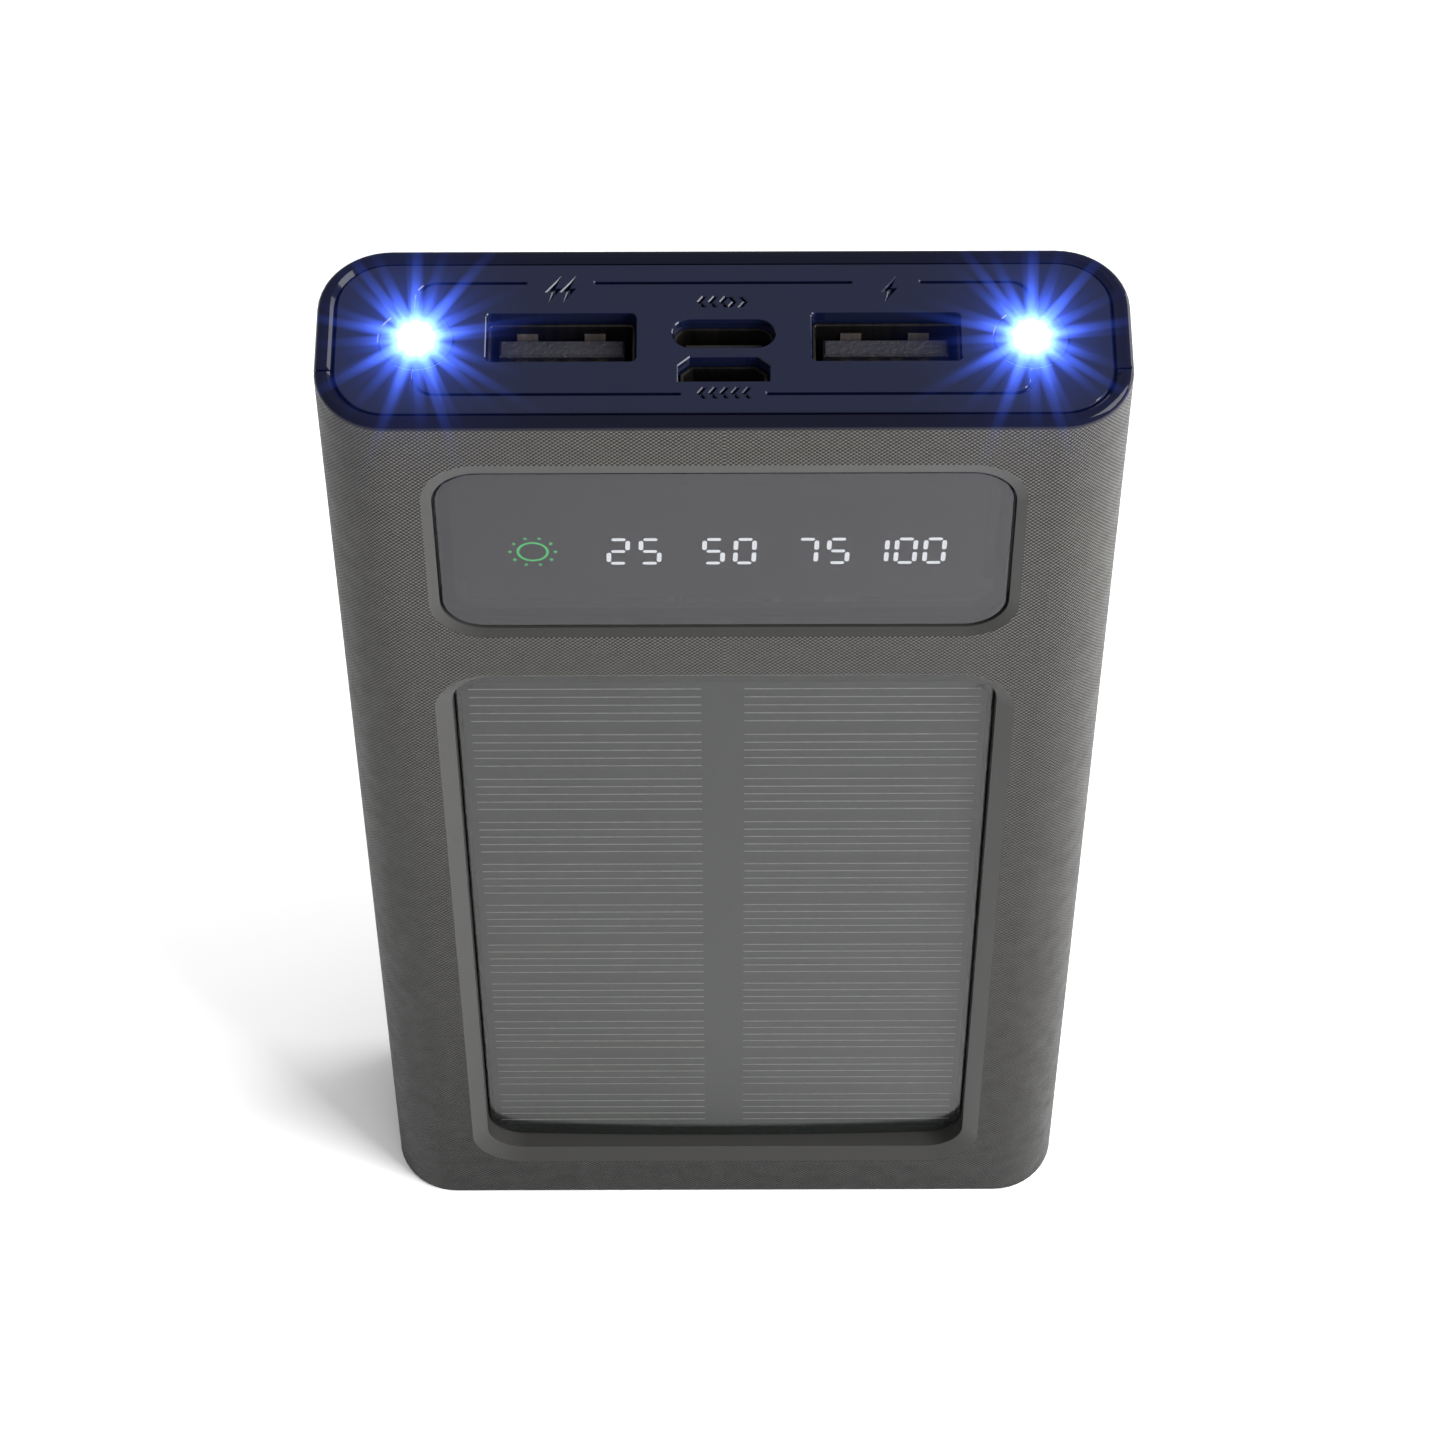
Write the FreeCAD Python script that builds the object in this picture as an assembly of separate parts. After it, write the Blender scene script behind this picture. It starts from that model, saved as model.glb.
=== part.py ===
import FreeCAD, Part
import math
import os

# A slim solar power bank: two-part shell, port panel with torches, display window and solar window.
# Millimetres. +Z is up through the ports, -Y is the solar side, the origin is the base centre.

Vector = FreeCAD.Vector
X_AXIS = Vector(1, 0, 0)
Y_AXIS = Vector(0, 1, 0)
Z_AXIS = Vector(0, 0, 1)

# Case
CASE_WIDTH = 72.0
CASE_DEPTH = 20.0
CASE_HEIGHT = 137.3
CORNER_RADIUS = 6.5
SIDE_WALL = 1.6
FACE_WALL = 1.5
FLOOR = 1.6
TOP_FILLET = 0.7
TOP_CHAMFER = 0.4
BASE_FILLET = 0.5
PARTING_Y = -3.65
PARTING_GAP = 0.16
PARTING_NOTCH = 0.3
LIP_DEPTH = 1.25
LIP_THICKNESS = 0.7
LIP_CLEARANCE = 0.1
LIP_TOP = 132.0
LEDGE_WIDTH = 1.2
LEDGE_THICKNESS = 1.4
HALF_WIDTH = CASE_WIDTH / 2
FRONT_Y = -CASE_DEPTH / 2
REAR_Y = CASE_DEPTH / 2
INNER_X = HALF_WIDTH - SIDE_WALL
INNER_FRONT_Y = FRONT_Y + FACE_WALL
INNER_REAR_Y = REAR_Y - FACE_WALL

# Snap hooks of the front cover
HOOK_HEIGHTS = (22.0, 60.0, 98.0)
HOOK_WIDTH = 6.0
HOOK_THICKNESS = 0.9
HOOK_GAP = 0.15
HOOK_TIP_Y = 0.6
HOOK_ROOT_LENGTH = 1.2
HOOK_ROOT_OVERLAP = 0.2
BARB_HEIGHT = 0.45
BARB_LENGTH = 1.5
HOOK_POCKET_GAP = 0.2

# Port panel
PANEL_GAP = 0.15
PANEL_SINK = 0.25
PANEL_THICKNESS = 1.8
PANEL_TOP = CASE_HEIGHT - PANEL_SINK
PANEL_BOTTOM = PANEL_TOP - PANEL_THICKNESS
PANEL_CHAMFER = 0.12
OPENING_CHAMFER = 0.1
ENGRAVING_DEPTH = 0.6
ENGRAVING_SLOPE = 0.1
FRAME_LINE_X = 27.1
FRAME_LINE_Y = 6.27
FRAME_LINE_WIDTH = 0.3
FRAME_LINE_RADIUS = 1.75
REAR_LINE_GAPS = ((-17.46, -11.46), (11.4, 17.4))
FRONT_LINE_GAP = (-3.8, 3.7)
BOLT_POINTS = (
    (0.37, 1.05),
    (-0.6, -0.2),
    (-0.06, -0.2),
    (-0.24, -1.02),
    (0.62, 0.2),
    (0.08, 0.2),
)
BOLT_MARKS = ((-15.05, 5.45), (-13.75, 5.45), (14.72, 5.4))
CHEVRON_SIZE = (0.42, 1.15)
CHEVRON_STROKE = 0.26
CHEVRON_PITCH = 0.98
TWO_WAY_MARK = (-0.1, 4.05)
ONE_WAY_MARK = (-0.1, -6.2)

# Torches
TORCH_X = 27.1
TORCH_Y = -0.17
TORCH_HOLE_RADIUS = 3.33
TORCH_LENS_RADIUS = 3.18
TORCH_LENS_RIM = 1.2
TORCH_DOME_RISE = 0.2
TORCH_TUBE_WALL = 0.7
TORCH_TUBE_LENGTH = 6.0
TORCH_LED_RADIUS = 2.5
TORCH_LED_FLANGE_RADIUS = 2.9
TORCH_LED_FLANGE = 1.0
TORCH_LED_TOP = 135.4
TORCH_LED_BASE = 128.0
TORCH_LINE_CLEARANCE = 0.3
LED_LEAD_RADIUS = 0.25
LED_LEAD_PITCH = 2.54
LED_LEAD_STRAIGHT = 0.8
LED_LEAD_JOG = 1.0
LED_LEAD_OVERLAP = 3.0
LED_LEAD_BEND = 0.5

# USB type A sockets
USB_A_X = 14.35
USB_A_Y = -0.06
USB_A_OUTER = (13.1, 5.72)
USB_A_SHEET = 0.3
USB_A_OPENING_GAP = 0.06
USB_A_CORNER = 0.5
USB_A_MOUTH = (13.2, 5.46)
USB_A_MOUTH_Y = 0.1
USB_A_MOUTH_LENGTH = 1.4
USB_A_EDGE_CHAMFER = 0.08
USB_A_MOUTH_DEPTH = 1.5
USB_A_LENGTH = 13.6
USB_A_TONGUE = (11.1, 1.84)
USB_A_TONGUE_REAR_GAP = 0.66
USB_A_TONGUE_DEPTH = 2.6
USB_A_TONGUE_CHAMFER = 0.2
USB_A_BLOCK_GAP = 0.05
USB_A_BLOCK_HEIGHT = 4.2
USB_A_CONTACTS_X = (-3.5, -1.0, 1.0, 3.5)
USB_A_CONTACT = (1.0, 0.16, 7.4)
USB_A_SPRINGS_X = (-3.1, 2.9)
USB_A_SPRING_WIDTH = 1.9
USB_A_SPRING_RISE = 0.55
USB_A_SPRING_HEIGHTS = (-0.9, -3.0, -6.4)

# USB type C socket
USB_C_Y = 0.49
USB_C_OPENING = (9.04, 3.2)
USB_C_OUTER = (8.94, 3.1)
USB_C_SHEET = 0.27
USB_C_MOUTH_DEPTH = 1.3
USB_C_LENGTH = 7.3
USB_C_TONGUE = (6.69, 0.7)
USB_C_TONGUE_DEPTH = 2.2
USB_C_BLOCK_HEIGHT = 2.0
USB_C_CONTACTS = 12
USB_C_CONTACT_PITCH = 0.5
USB_C_CONTACT = (0.26, 0.06, 3.2)
USB_C_CONTACT_DROP = 0.4
USB_C_BLOCK_GAP = 0.04

# Micro USB socket
MICRO_Y = -3.54
MICRO_OPENING = (8.05, 2.7)
MICRO_CHAMFER = (1.05, 0.97)
MICRO_OUTER = (7.6, 2.5)
MICRO_SHEET = 0.25
MICRO_OUTER_CHAMFER = (0.95, 0.9)
MICRO_INNER_CHAMFER = (0.84, 0.79)
MICRO_MOUTH_DEPTH = 1.3
MICRO_LENGTH = 5.2
MICRO_TONGUE = (3.9, 0.6)
MICRO_TONGUE_DEPTH = 2.4
MICRO_BLOCK_HEIGHT = 1.6
MICRO_CONTACTS = 5
MICRO_CONTACT_PITCH = 0.65
MICRO_CONTACT = (0.35, 0.06, 1.8)
MICRO_CONTACT_DROP = 0.2
MICRO_TONGUE_SHIFT = -0.2
MICRO_BLOCK_GAP = 0.04

# Display
WINDOW_OPENING_X = 26.05
WINDOW_OPENING_Z = (106.4, 129.85)
WINDOW_RADIUS = 4.2
WINDOW_BEVEL = 0.5
WINDOW_BEVEL_SIDE = 0.95
WINDOW_BEVEL_TOP = 1.7
WINDOW_BEVEL_BOTTOM = 0.85
WINDOW_GAP = 0.22
WINDOW_SINK = 0.62
WINDOW_THICKNESS = 1.0
WINDOW_EDGE = 0.1
WINDOW_LEDGE = 1.3
WINDOW_PAD_MARGIN = 1.9
WINDOW_PAD_REAR_Y = -7.6
ADHESIVE_THICKNESS = 0.1
ADHESIVE_INSET = 0.2
HOUSING_X = 23.6
HOUSING_Z = (109.6, 126.4)
HOUSING_DEPTH = 2.7
DISPLAY_BOARD_THICKNESS = 0.8
DISPLAY_BOARD_MARGIN = 0.4
DIGIT_BASE_Z = 114.55
DIGIT_HEIGHT = 4.0
DIGIT_WIDTH = 2.1
SEGMENT_WIDTH = 0.42
SEGMENT_GAP = 0.2
SEGMENT_DEPTH = 1.6
DIGIT_LEAN = 0.03
NUMERALS = (
    (-9.6, "2"),
    (-6.72, "5"),
    (-0.97, "5"),
    (1.87, "0"),
    (7.5, "7"),
    (10.32, "5"),
    (13.88, "1"),
    (16.44, "0"),
    (19.05, "0"),
)
SEGMENTS_OF = {
    "0": "abcdef",
    "1": "bc",
    "2": "abged",
    "5": "afgcd",
    "7": "abc",
}
SUN_X = -17.35
SUN_RADIUS = 1.34
SUN_LINE = 0.24
SUN_DOTS = 10
SUN_DOT_ORBIT = 2.06
SUN_DOT_RADIUS = 0.16
HEADER_PINS = 8
HEADER_PITCH = 2.0
HEADER_PIN_SIDE = 0.5
HEADER_PIN_Z = 111.2

# Solar window
SOLAR_OUTER_X = 27.3
SOLAR_OUTER_Z = (6.76, 99.5)
SOLAR_OUTER_RADIUS = 5.6
SOLAR_BEVEL_WIDTH = 1.6
SOLAR_BEVEL_DEPTH = 1.0
SOLAR_WALL = 1.3
SOLAR_FLOOR_Y = -5.5
SOLAR_FLOOR_THICKNESS = 1.0
SOLAR_PANEL_GAP = 0.18
SOLAR_ADHESIVE = 0.1
SOLAR_SUBSTRATE = 1.0
SOLAR_CELL_THICKNESS = 0.2
SOLAR_EDGE_Y = -7.3
SOLAR_CROWN = 0.42
SOLAR_STRIPS = 11
SOLAR_STRIP_PITCH = 7.67
SOLAR_STRIP_HEIGHT = 6.7
SOLAR_STRIP_HALF_WIDTH = 24.6
SOLAR_LOWEST_STRIP_Z = 13.25
SOLAR_SLOT = (14.0, 2.6)
SOLAR_SLOT_Z = 96.0
SOLAR_TAPE_INNER_X = 9.0
SOLAR_TAPE_SIDE_INSET = 2.0
SOLAR_TAPE_END_INSET = 4.0
SOLAR_EDGE_FILLET = 0.15

# Battery
CELL_SIZE = (60.0, 5.9, 90.0)
CELL_BASE_Z = 3.2
CELL_RADIUS = 1.2
CELL_TAPE = 0.2
CELL_TAPE_INSET = 6.0
FOAM = (50.0, 0.4, 76.0)
TAB_SIZE = (4.0, 0.15, 5.0)
TAB_X = 11.0
BATTERY_LEAD_RADIUS = 0.8
BATTERY_LEAD_START = 0.5
BATTERY_LEAD_RISE = 4.6
BATTERY_LEAD_JOG = 5.6
BATTERY_LEAD_OVERLAP = 3.0
BATTERY_LEAD_BEND = 2.0
INSULATION_Z = 101.5
INSULATION_THICKNESS = 0.4
INSULATION_X = 30.0
INSULATION_FRONT_GAP = 3.0
INSULATION_REAR_GAP = 0.4
INSULATION_NOTCH = 1.6
INSULATION_NOTCH_REAR_GAP = 2.0
INSULATION_SLOT_MARGIN = 1.2
RAIL_X = 31.0
RAIL_THICKNESS = 1.2
RAIL_Z = (6.0, 92.0)
RAIL_FRONT_Y = 1.0

# Main board
BOARD_FRONT_Y = -2.25
BOARD_THICKNESS = 1.16
BOARD_REAR_Y = BOARD_FRONT_Y + BOARD_THICKNESS
BOARD_X = 31.0
BOARD_BASE_Z = 104.0
BOARD_SHOULDER_Z = 120.6
BOARD_WING_Z = 124.2
BOARD_NECK_X = 7.4
BOARD_NECK_Z = 133.0
BOARD_SLOT_MARGIN = 0.25
SCREW_X = 28.0
SCREW_Z = 108.0
SCREW_RADIUS = 0.95
SCREW_HEAD_RADIUS = 1.8
SCREW_HEAD_HEIGHT = 1.3
SCREW_LENGTH = 6.0
SCREW_HEAD_FILLET = 0.5
SCREW_SLOT = (2.0, 0.5, 0.45)
PILOT_GAP = 0.03
PILOT_EXTRA = 0.6
BOARD_HOLE_GAP = 0.15
WALL_OVERLAP = 0.2
BOSS_RADIUS = 2.4
INDUCTORS_X = (-19.5, 2.0)
INDUCTOR_Z = 112.5
INDUCTOR_SIZE = (7.0, 3.6, 7.0)
INDUCTOR_CORNER = 1.2
CHIPS = (
    (-4.4, 111.5, (4.0, 1.5, 9.8)),
    (18.6, 112.0, (5.0, 1.5, 4.0)),
    (-27.0, 116.0, (5.0, 1.5, 4.0)),
)
CAPACITOR_ROWS_X = (-22.0, 13.2)
CAPACITORS_IN_ROW = 6
CAPACITOR_PITCH = 2.2
CAPACITOR_Z = 118.3
CAPACITOR_SIZE = (1.25, 1.25, 2.0)
RESISTOR_COLUMNS_X = (8.0, 22.6)
RESISTORS_IN_COLUMN = 5
RESISTOR_PITCH = 1.9
RESISTOR_BASE_Z = 107.0
RESISTOR_SIZE = (1.6, 0.45, 0.8)
SOLAR_LEAD_RADIUS = 0.5
SOLAR_LEAD_X = 4.0
SOLAR_LEAD_BEND = 1.5
SOLDER_Z = 108.0

# Power button and its switch
BUTTON_Y = 0.9
BUTTON_Z = 115.5
BUTTON_SIZE = (3.4, 10.0)
BUTTON_GAP = 0.18
BUTTON_PROUD = 0.4
BUTTON_FLANGE = 1.0
BUTTON_FLANGE_MARGIN = 0.8
BUTTON_FILLET = 0.35
BUTTON_TO_WALL = 0.2
BUTTON_TO_PLUNGER = 0.15
PLUNGER_SIDE = 1.7
PLUNGER_SHOW = 1.0
PLUNGER_INSIDE = 1.5
PLUNGER_GAP = 0.15
SWITCH_SIZE = (4.6, 3.8, 6.0)


def box(x0, x1, y0, y1, z0, z1):
    """Block between the two values given for each axis."""
    return Part.makeBox(x1 - x0, y1 - y0, z1 - z0, Vector(x0, y0, z0))


def centred_box(center, size):
    """Block with its middle at a point."""
    cx, cy, cz = center
    sx, sy, sz = size
    return Part.makeBox(sx, sy, sz, Vector(cx - sx / 2, cy - sy / 2, cz - sz / 2))


def mirror_x(shape):
    """Copy on the other side of the middle plane."""
    return shape.mirror(Vector(0, 0, 0), X_AXIS)


def rounded_wire(a0, a1, b0, b1, radius, place):
    """Closed rounded rectangle; place turns two plane values into a point."""
    diagonal = radius * math.sqrt(0.5)
    corners = (
        (a1 - radius, b0 + radius, 1, -1),
        (a1 - radius, b1 - radius, 1, 1),
        (a0 + radius, b1 - radius, -1, 1),
        (a0 + radius, b0 + radius, -1, -1),
    )
    arcs = []
    for index, (ca, cb, sa, sb) in enumerate(corners):
        along_b = place(ca, cb + sb * radius)
        along_a = place(ca + sa * radius, cb)
        middle = place(ca + sa * diagonal, cb + sb * diagonal)
        ends = (along_b, along_a) if index % 2 == 0 else (along_a, along_b)
        arcs.append((ends[0], middle, ends[1]))
    edges = []
    for index, (start, middle, end) in enumerate(arcs):
        edges.append(Part.Arc(start, middle, end).toShape())
        following = arcs[(index + 1) % len(arcs)][0]
        if (following - end).Length > 1e-6:
            edges.append(Part.LineSegment(end, following).toShape())
    return Part.Wire(edges)


def plan_prism(half_x, y0, y1, radius, z0, z1):
    """Rounded rectangle seen from above, extruded upward."""
    wire = rounded_wire(-half_x, half_x, y0, y1, radius, lambda a, b: Vector(a, b, z0))
    return Part.Face(wire).extrude(Z_AXIS * (z1 - z0))


def face_wire(half_x, z0, z1, radius, y):
    """Rounded rectangle seen from the front, at one depth."""
    return rounded_wire(-half_x, half_x, z0, z1, radius, lambda a, b: Vector(a, y, b))


def face_prism(half_x, z0, z1, radius, y0, y1):
    """Rounded rectangle seen from the front, extruded backward."""
    return Part.Face(face_wire(half_x, z0, z1, radius, y0)).extrude(Y_AXIS * (y1 - y0))


def polygon_prism(points, z0, z1):
    """Polygon seen from above, extruded upward."""
    corners = [Vector(x, y, z0) for x, y in points]
    return Part.Face(Part.makePolygon(corners + corners[:1])).extrude(Z_AXIS * (z1 - z0))


def post(radius, x, y, z0, z1):
    """Upright cylinder."""
    return Part.makeCylinder(radius, z1 - z0, Vector(x, y, z0), Z_AXIS)


def rod_y(radius, x, z, y0, y1):
    """Cylinder running front to back."""
    return Part.makeCylinder(radius, y1 - y0, Vector(x, y0, z), Y_AXIS)


def fuse_all(shapes):
    """One solid from touching solids, without the seams between them."""
    whole = shapes[0]
    for shape in shapes[1:]:
        whole = whole.fuse(shape)
    return whole.removeSplitter()


def cut_all(shape, tools):
    """Shape with every tool taken out of it."""
    for tool in tools:
        shape = shape.cut(tool)
    return shape


def lead(points, radius, bend):
    """Round wire along straight runs joined by tangent arcs."""
    corners = [Vector(*point) for point in points]
    edges = []
    start = corners[0]
    for before, corner, after in zip(corners, corners[1:], corners[2:]):
        into = (corner - before).normalize()
        out = (after - corner).normalize()
        turn = into.getAngle(out)
        reach = bend * math.tan(turn / 2)
        arc_start = corner - into * reach
        arc_end = corner + out * reach
        inward = (out - into).normalize()
        center = corner + inward * (bend / math.cos(turn / 2))
        edges.append(Part.LineSegment(start, arc_start).toShape())
        edges.append(Part.Arc(arc_start, center - inward * bend, arc_end).toShape())
        start = arc_end
    edges.append(Part.LineSegment(start, corners[-1]).toShape())
    first = (corners[1] - corners[0]).normalize()
    ring = Part.Wire(Part.makeCircle(radius, corners[0], first))
    return Part.Wire(edges).makePipeShell([ring], True, False)


def edges_where(shape, test):
    """Edges whose bounding box passes a test."""
    return [edge for edge in shape.Edges if test(edge.BoundBox)]


def case_blank():
    """Whole outer case before it is parted: walls, floor, rounded rim and panel ledge."""
    outer = plan_prism(HALF_WIDTH, FRONT_Y, REAR_Y, CORNER_RADIUS, 0, CASE_HEIGHT)
    rim = edges_where(outer, lambda b: b.ZMin > CASE_HEIGHT - 0.01)
    outer = outer.makeFillet(TOP_FILLET, rim)
    base = edges_where(outer, lambda b: b.ZMax < 0.01)
    outer = outer.makeFillet(BASE_FILLET, base)
    inner_radius = CORNER_RADIUS - SIDE_WALL
    cavity = plan_prism(INNER_X, INNER_FRONT_Y, INNER_REAR_Y, inner_radius, FLOOR, CASE_HEIGHT)
    shell = outer.cut(cavity)
    mouth = edges_where(
        shell,
        lambda b: b.ZMin > CASE_HEIGHT - 0.01
        and max(abs(b.XMin), abs(b.XMax)) < INNER_X + 0.01
        and max(abs(b.YMin), abs(b.YMax)) < INNER_REAR_Y + 0.01,
    )
    shell = shell.makeChamfer(TOP_CHAMFER, mouth)
    ledge_base = PANEL_BOTTOM - LEDGE_THICKNESS
    ledge = plan_prism(INNER_X, INNER_FRONT_Y, INNER_REAR_Y, inner_radius, ledge_base, PANEL_BOTTOM)
    throat = plan_prism(
        INNER_X - LEDGE_WIDTH,
        INNER_FRONT_Y + LEDGE_WIDTH,
        INNER_REAR_Y - LEDGE_WIDTH,
        inner_radius - LEDGE_WIDTH,
        ledge_base,
        PANEL_BOTTOM,
    )
    return shell.fuse(ledge.cut(throat)).removeSplitter()


def parting_notch():
    """V groove that runs up both sides and over the rim along the parting line."""
    def diamond(center, first, second, run):
        points = [
            center + first * PARTING_NOTCH,
            center + second * PARTING_NOTCH,
            center - first * PARTING_NOTCH,
            center - second * PARTING_NOTCH,
        ]
        return Part.Face(Part.makePolygon(points + points[:1])).extrude(run)

    tools = []
    for side in (-1, 1):
        edge = Vector(side * HALF_WIDTH, PARTING_Y, 0)
        tools.append(diamond(edge, X_AXIS, Y_AXIS, Z_AXIS * CASE_HEIGHT))
    over = Vector(-HALF_WIDTH, PARTING_Y, CASE_HEIGHT)
    tools.append(diamond(over, Y_AXIS, Z_AXIS, X_AXIS * CASE_WIDTH))
    return tools


def everywhere_between(y0, y1):
    """Slab wider and taller than the case."""
    reach = CASE_HEIGHT
    return box(-reach, reach, y0, y1, -reach, 2 * reach)


def display_recess():
    """Shallow bevelled recess, glass pocket and light opening of the display window."""
    z0, z1 = WINDOW_OPENING_Z
    bevel_y = FRONT_Y + WINDOW_BEVEL
    outer = face_wire(
        WINDOW_OPENING_X + WINDOW_BEVEL_SIDE,
        z0 - WINDOW_BEVEL_BOTTOM,
        z1 + WINDOW_BEVEL_TOP,
        WINDOW_RADIUS + WINDOW_BEVEL_SIDE,
        FRONT_Y,
    )
    inner = face_wire(WINDOW_OPENING_X, z0, z1, WINDOW_RADIUS, bevel_y)
    bevel = Part.makeLoft([outer, inner], True, True)
    ledge_y = FRONT_Y + WINDOW_SINK + WINDOW_THICKNESS + ADHESIVE_THICKNESS
    pocket = face_prism(WINDOW_OPENING_X, z0, z1, WINDOW_RADIUS, bevel_y, ledge_y)
    opening = face_prism(
        WINDOW_OPENING_X - WINDOW_LEDGE,
        z0 + WINDOW_LEDGE,
        z1 - WINDOW_LEDGE,
        WINDOW_RADIUS - WINDOW_LEDGE,
        ledge_y,
        WINDOW_PAD_REAR_Y,
    )
    return [bevel, pocket, opening]


def solar_inner():
    """Half width, heights and corner radius of the straight wall of the solar pocket."""
    z0, z1 = SOLAR_OUTER_Z
    return (
        SOLAR_OUTER_X - SOLAR_BEVEL_WIDTH,
        z0 + SOLAR_BEVEL_WIDTH,
        z1 - SOLAR_BEVEL_WIDTH,
        SOLAR_OUTER_RADIUS - SOLAR_BEVEL_WIDTH,
    )


def solar_recess():
    """Bevelled pocket that holds the solar panel, with a slot for its leads."""
    half_x, z0, z1, radius = solar_inner()
    bevel_y = FRONT_Y + SOLAR_BEVEL_DEPTH
    outer = face_wire(SOLAR_OUTER_X, SOLAR_OUTER_Z[0], SOLAR_OUTER_Z[1], SOLAR_OUTER_RADIUS, FRONT_Y)
    inner = face_wire(half_x, z0, z1, radius, bevel_y)
    bevel = Part.makeLoft([outer, inner], True, True)
    pocket = face_prism(half_x, z0, z1, radius, bevel_y, SOLAR_FLOOR_Y)
    slot_width, slot_height = SOLAR_SLOT
    slot = centred_box(
        (0, SOLAR_FLOOR_Y + SOLAR_FLOOR_THICKNESS / 2, SOLAR_SLOT_Z),
        (slot_width, 2 * SOLAR_FLOOR_THICKNESS, slot_height),
    )
    return [bevel, pocket, slot]


def solar_tray():
    """Walls and floor that carry the pocket behind the face."""
    half_x, z0, z1, radius = solar_inner()
    return face_prism(
        half_x + SOLAR_WALL,
        z0 - SOLAR_WALL,
        z1 + SOLAR_WALL,
        radius + SOLAR_WALL,
        INNER_FRONT_Y,
        SOLAR_FLOOR_Y + SOLAR_FLOOR_THICKNESS,
    )


def display_pad():
    """Thicker patch behind the face that forms the ledge for the display window."""
    z0, z1 = WINDOW_OPENING_Z
    return face_prism(
        WINDOW_OPENING_X + WINDOW_PAD_MARGIN,
        z0 - WINDOW_PAD_MARGIN,
        z1 + WINDOW_PAD_MARGIN,
        WINDOW_RADIUS,
        INNER_FRONT_Y,
        WINDOW_PAD_REAR_Y,
    )


def snap_hooks():
    """Cantilever hooks that reach from the front cover into the rear cover."""
    hooks = []
    outside = INNER_X - HOOK_GAP
    root_y = PARTING_Y - LIP_DEPTH - 3 * LIP_CLEARANCE
    for z in HOOK_HEIGHTS:
        z0 = z - HOOK_WIDTH / 2
        z1 = z + HOOK_WIDTH / 2
        start_y = root_y - HOOK_ROOT_LENGTH
        arm = box(outside - HOOK_THICKNESS, outside, start_y, HOOK_TIP_Y, z0, z1)
        root = box(outside - HOOK_THICKNESS, INNER_X + HOOK_ROOT_OVERLAP, start_y, root_y, z0, z1)
        barb_points = [
            Vector(outside, HOOK_TIP_Y, z0),
            Vector(outside, HOOK_TIP_Y - BARB_LENGTH, z0),
            Vector(outside + BARB_HEIGHT, HOOK_TIP_Y - BARB_LENGTH, z0),
        ]
        barb_face = Part.Face(Part.makePolygon(barb_points + barb_points[:1]))
        hook = fuse_all([arm, root, barb_face.extrude(Z_AXIS * HOOK_WIDTH)])
        hooks.append(hook)
        hooks.append(mirror_x(hook))
    return hooks


def hook_pockets():
    """Pockets in the rear cover walls that catch the hooks."""
    pockets = []
    for z in HOOK_HEIGHTS:
        pocket = box(
            INNER_X - 0.1,
            INNER_X - HOOK_GAP + BARB_HEIGHT + HOOK_POCKET_GAP,
            HOOK_TIP_Y - BARB_LENGTH - HOOK_POCKET_GAP,
            HOOK_TIP_Y + HOOK_POCKET_GAP,
            z - HOOK_WIDTH / 2 - HOOK_POCKET_GAP,
            z + HOOK_WIDTH / 2 + HOOK_POCKET_GAP,
        )
        pockets.append(pocket)
        pockets.append(mirror_x(pocket))
    return pockets


def lip_frame(grow):
    """U-shaped lip on the parting line; grow widens it into its clearance groove."""
    half_x = INNER_X + LIP_THICKNESS + grow
    y0 = PARTING_Y - LIP_DEPTH - grow
    y1 = PARTING_Y + PARTING_GAP
    base = FLOOR - LIP_THICKNESS - grow
    frame = box(-half_x, half_x, y0, y1, base, LIP_TOP + grow)
    inside = box(-INNER_X + grow, INNER_X - grow, y0, y1, FLOOR + grow, LIP_TOP + 2 * grow + 1)
    return frame.cut(inside)


def front_cover(blank):
    """Shallow front shell with the display window and the solar pocket."""
    cover = blank.common(everywhere_between(-CASE_DEPTH, PARTING_Y - PARTING_GAP / 2))
    cover = cover.cut(lip_frame(LIP_CLEARANCE))
    cover = cover.fuse(solar_tray()).fuse(display_pad())
    cover = cut_all(cover, display_recess() + solar_recess())
    for hook in snap_hooks():
        cover = cover.fuse(hook)
    return cover.removeSplitter()


def button_opening():
    """Opening in the right wall for the power button."""
    width, height = BUTTON_SIZE
    return button_block(
        width + 2 * BUTTON_GAP,
        height + 2 * BUTTON_GAP,
        INNER_X - 1,
        HALF_WIDTH + 1,
    )


def button_block(width, height, x0, x1):
    """Upright stadium block through the right wall."""
    radius = width / 2
    middle = height / 2 - radius
    body = box(x0, x1, BUTTON_Y - radius, BUTTON_Y + radius, BUTTON_Z - middle, BUTTON_Z + middle)
    ends = []
    for z in (BUTTON_Z - middle, BUTTON_Z + middle):
        ends.append(Part.makeCylinder(radius, x1 - x0, Vector(x0, BUTTON_Y, z), X_AXIS))
    return fuse_all([body] + ends)


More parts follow.
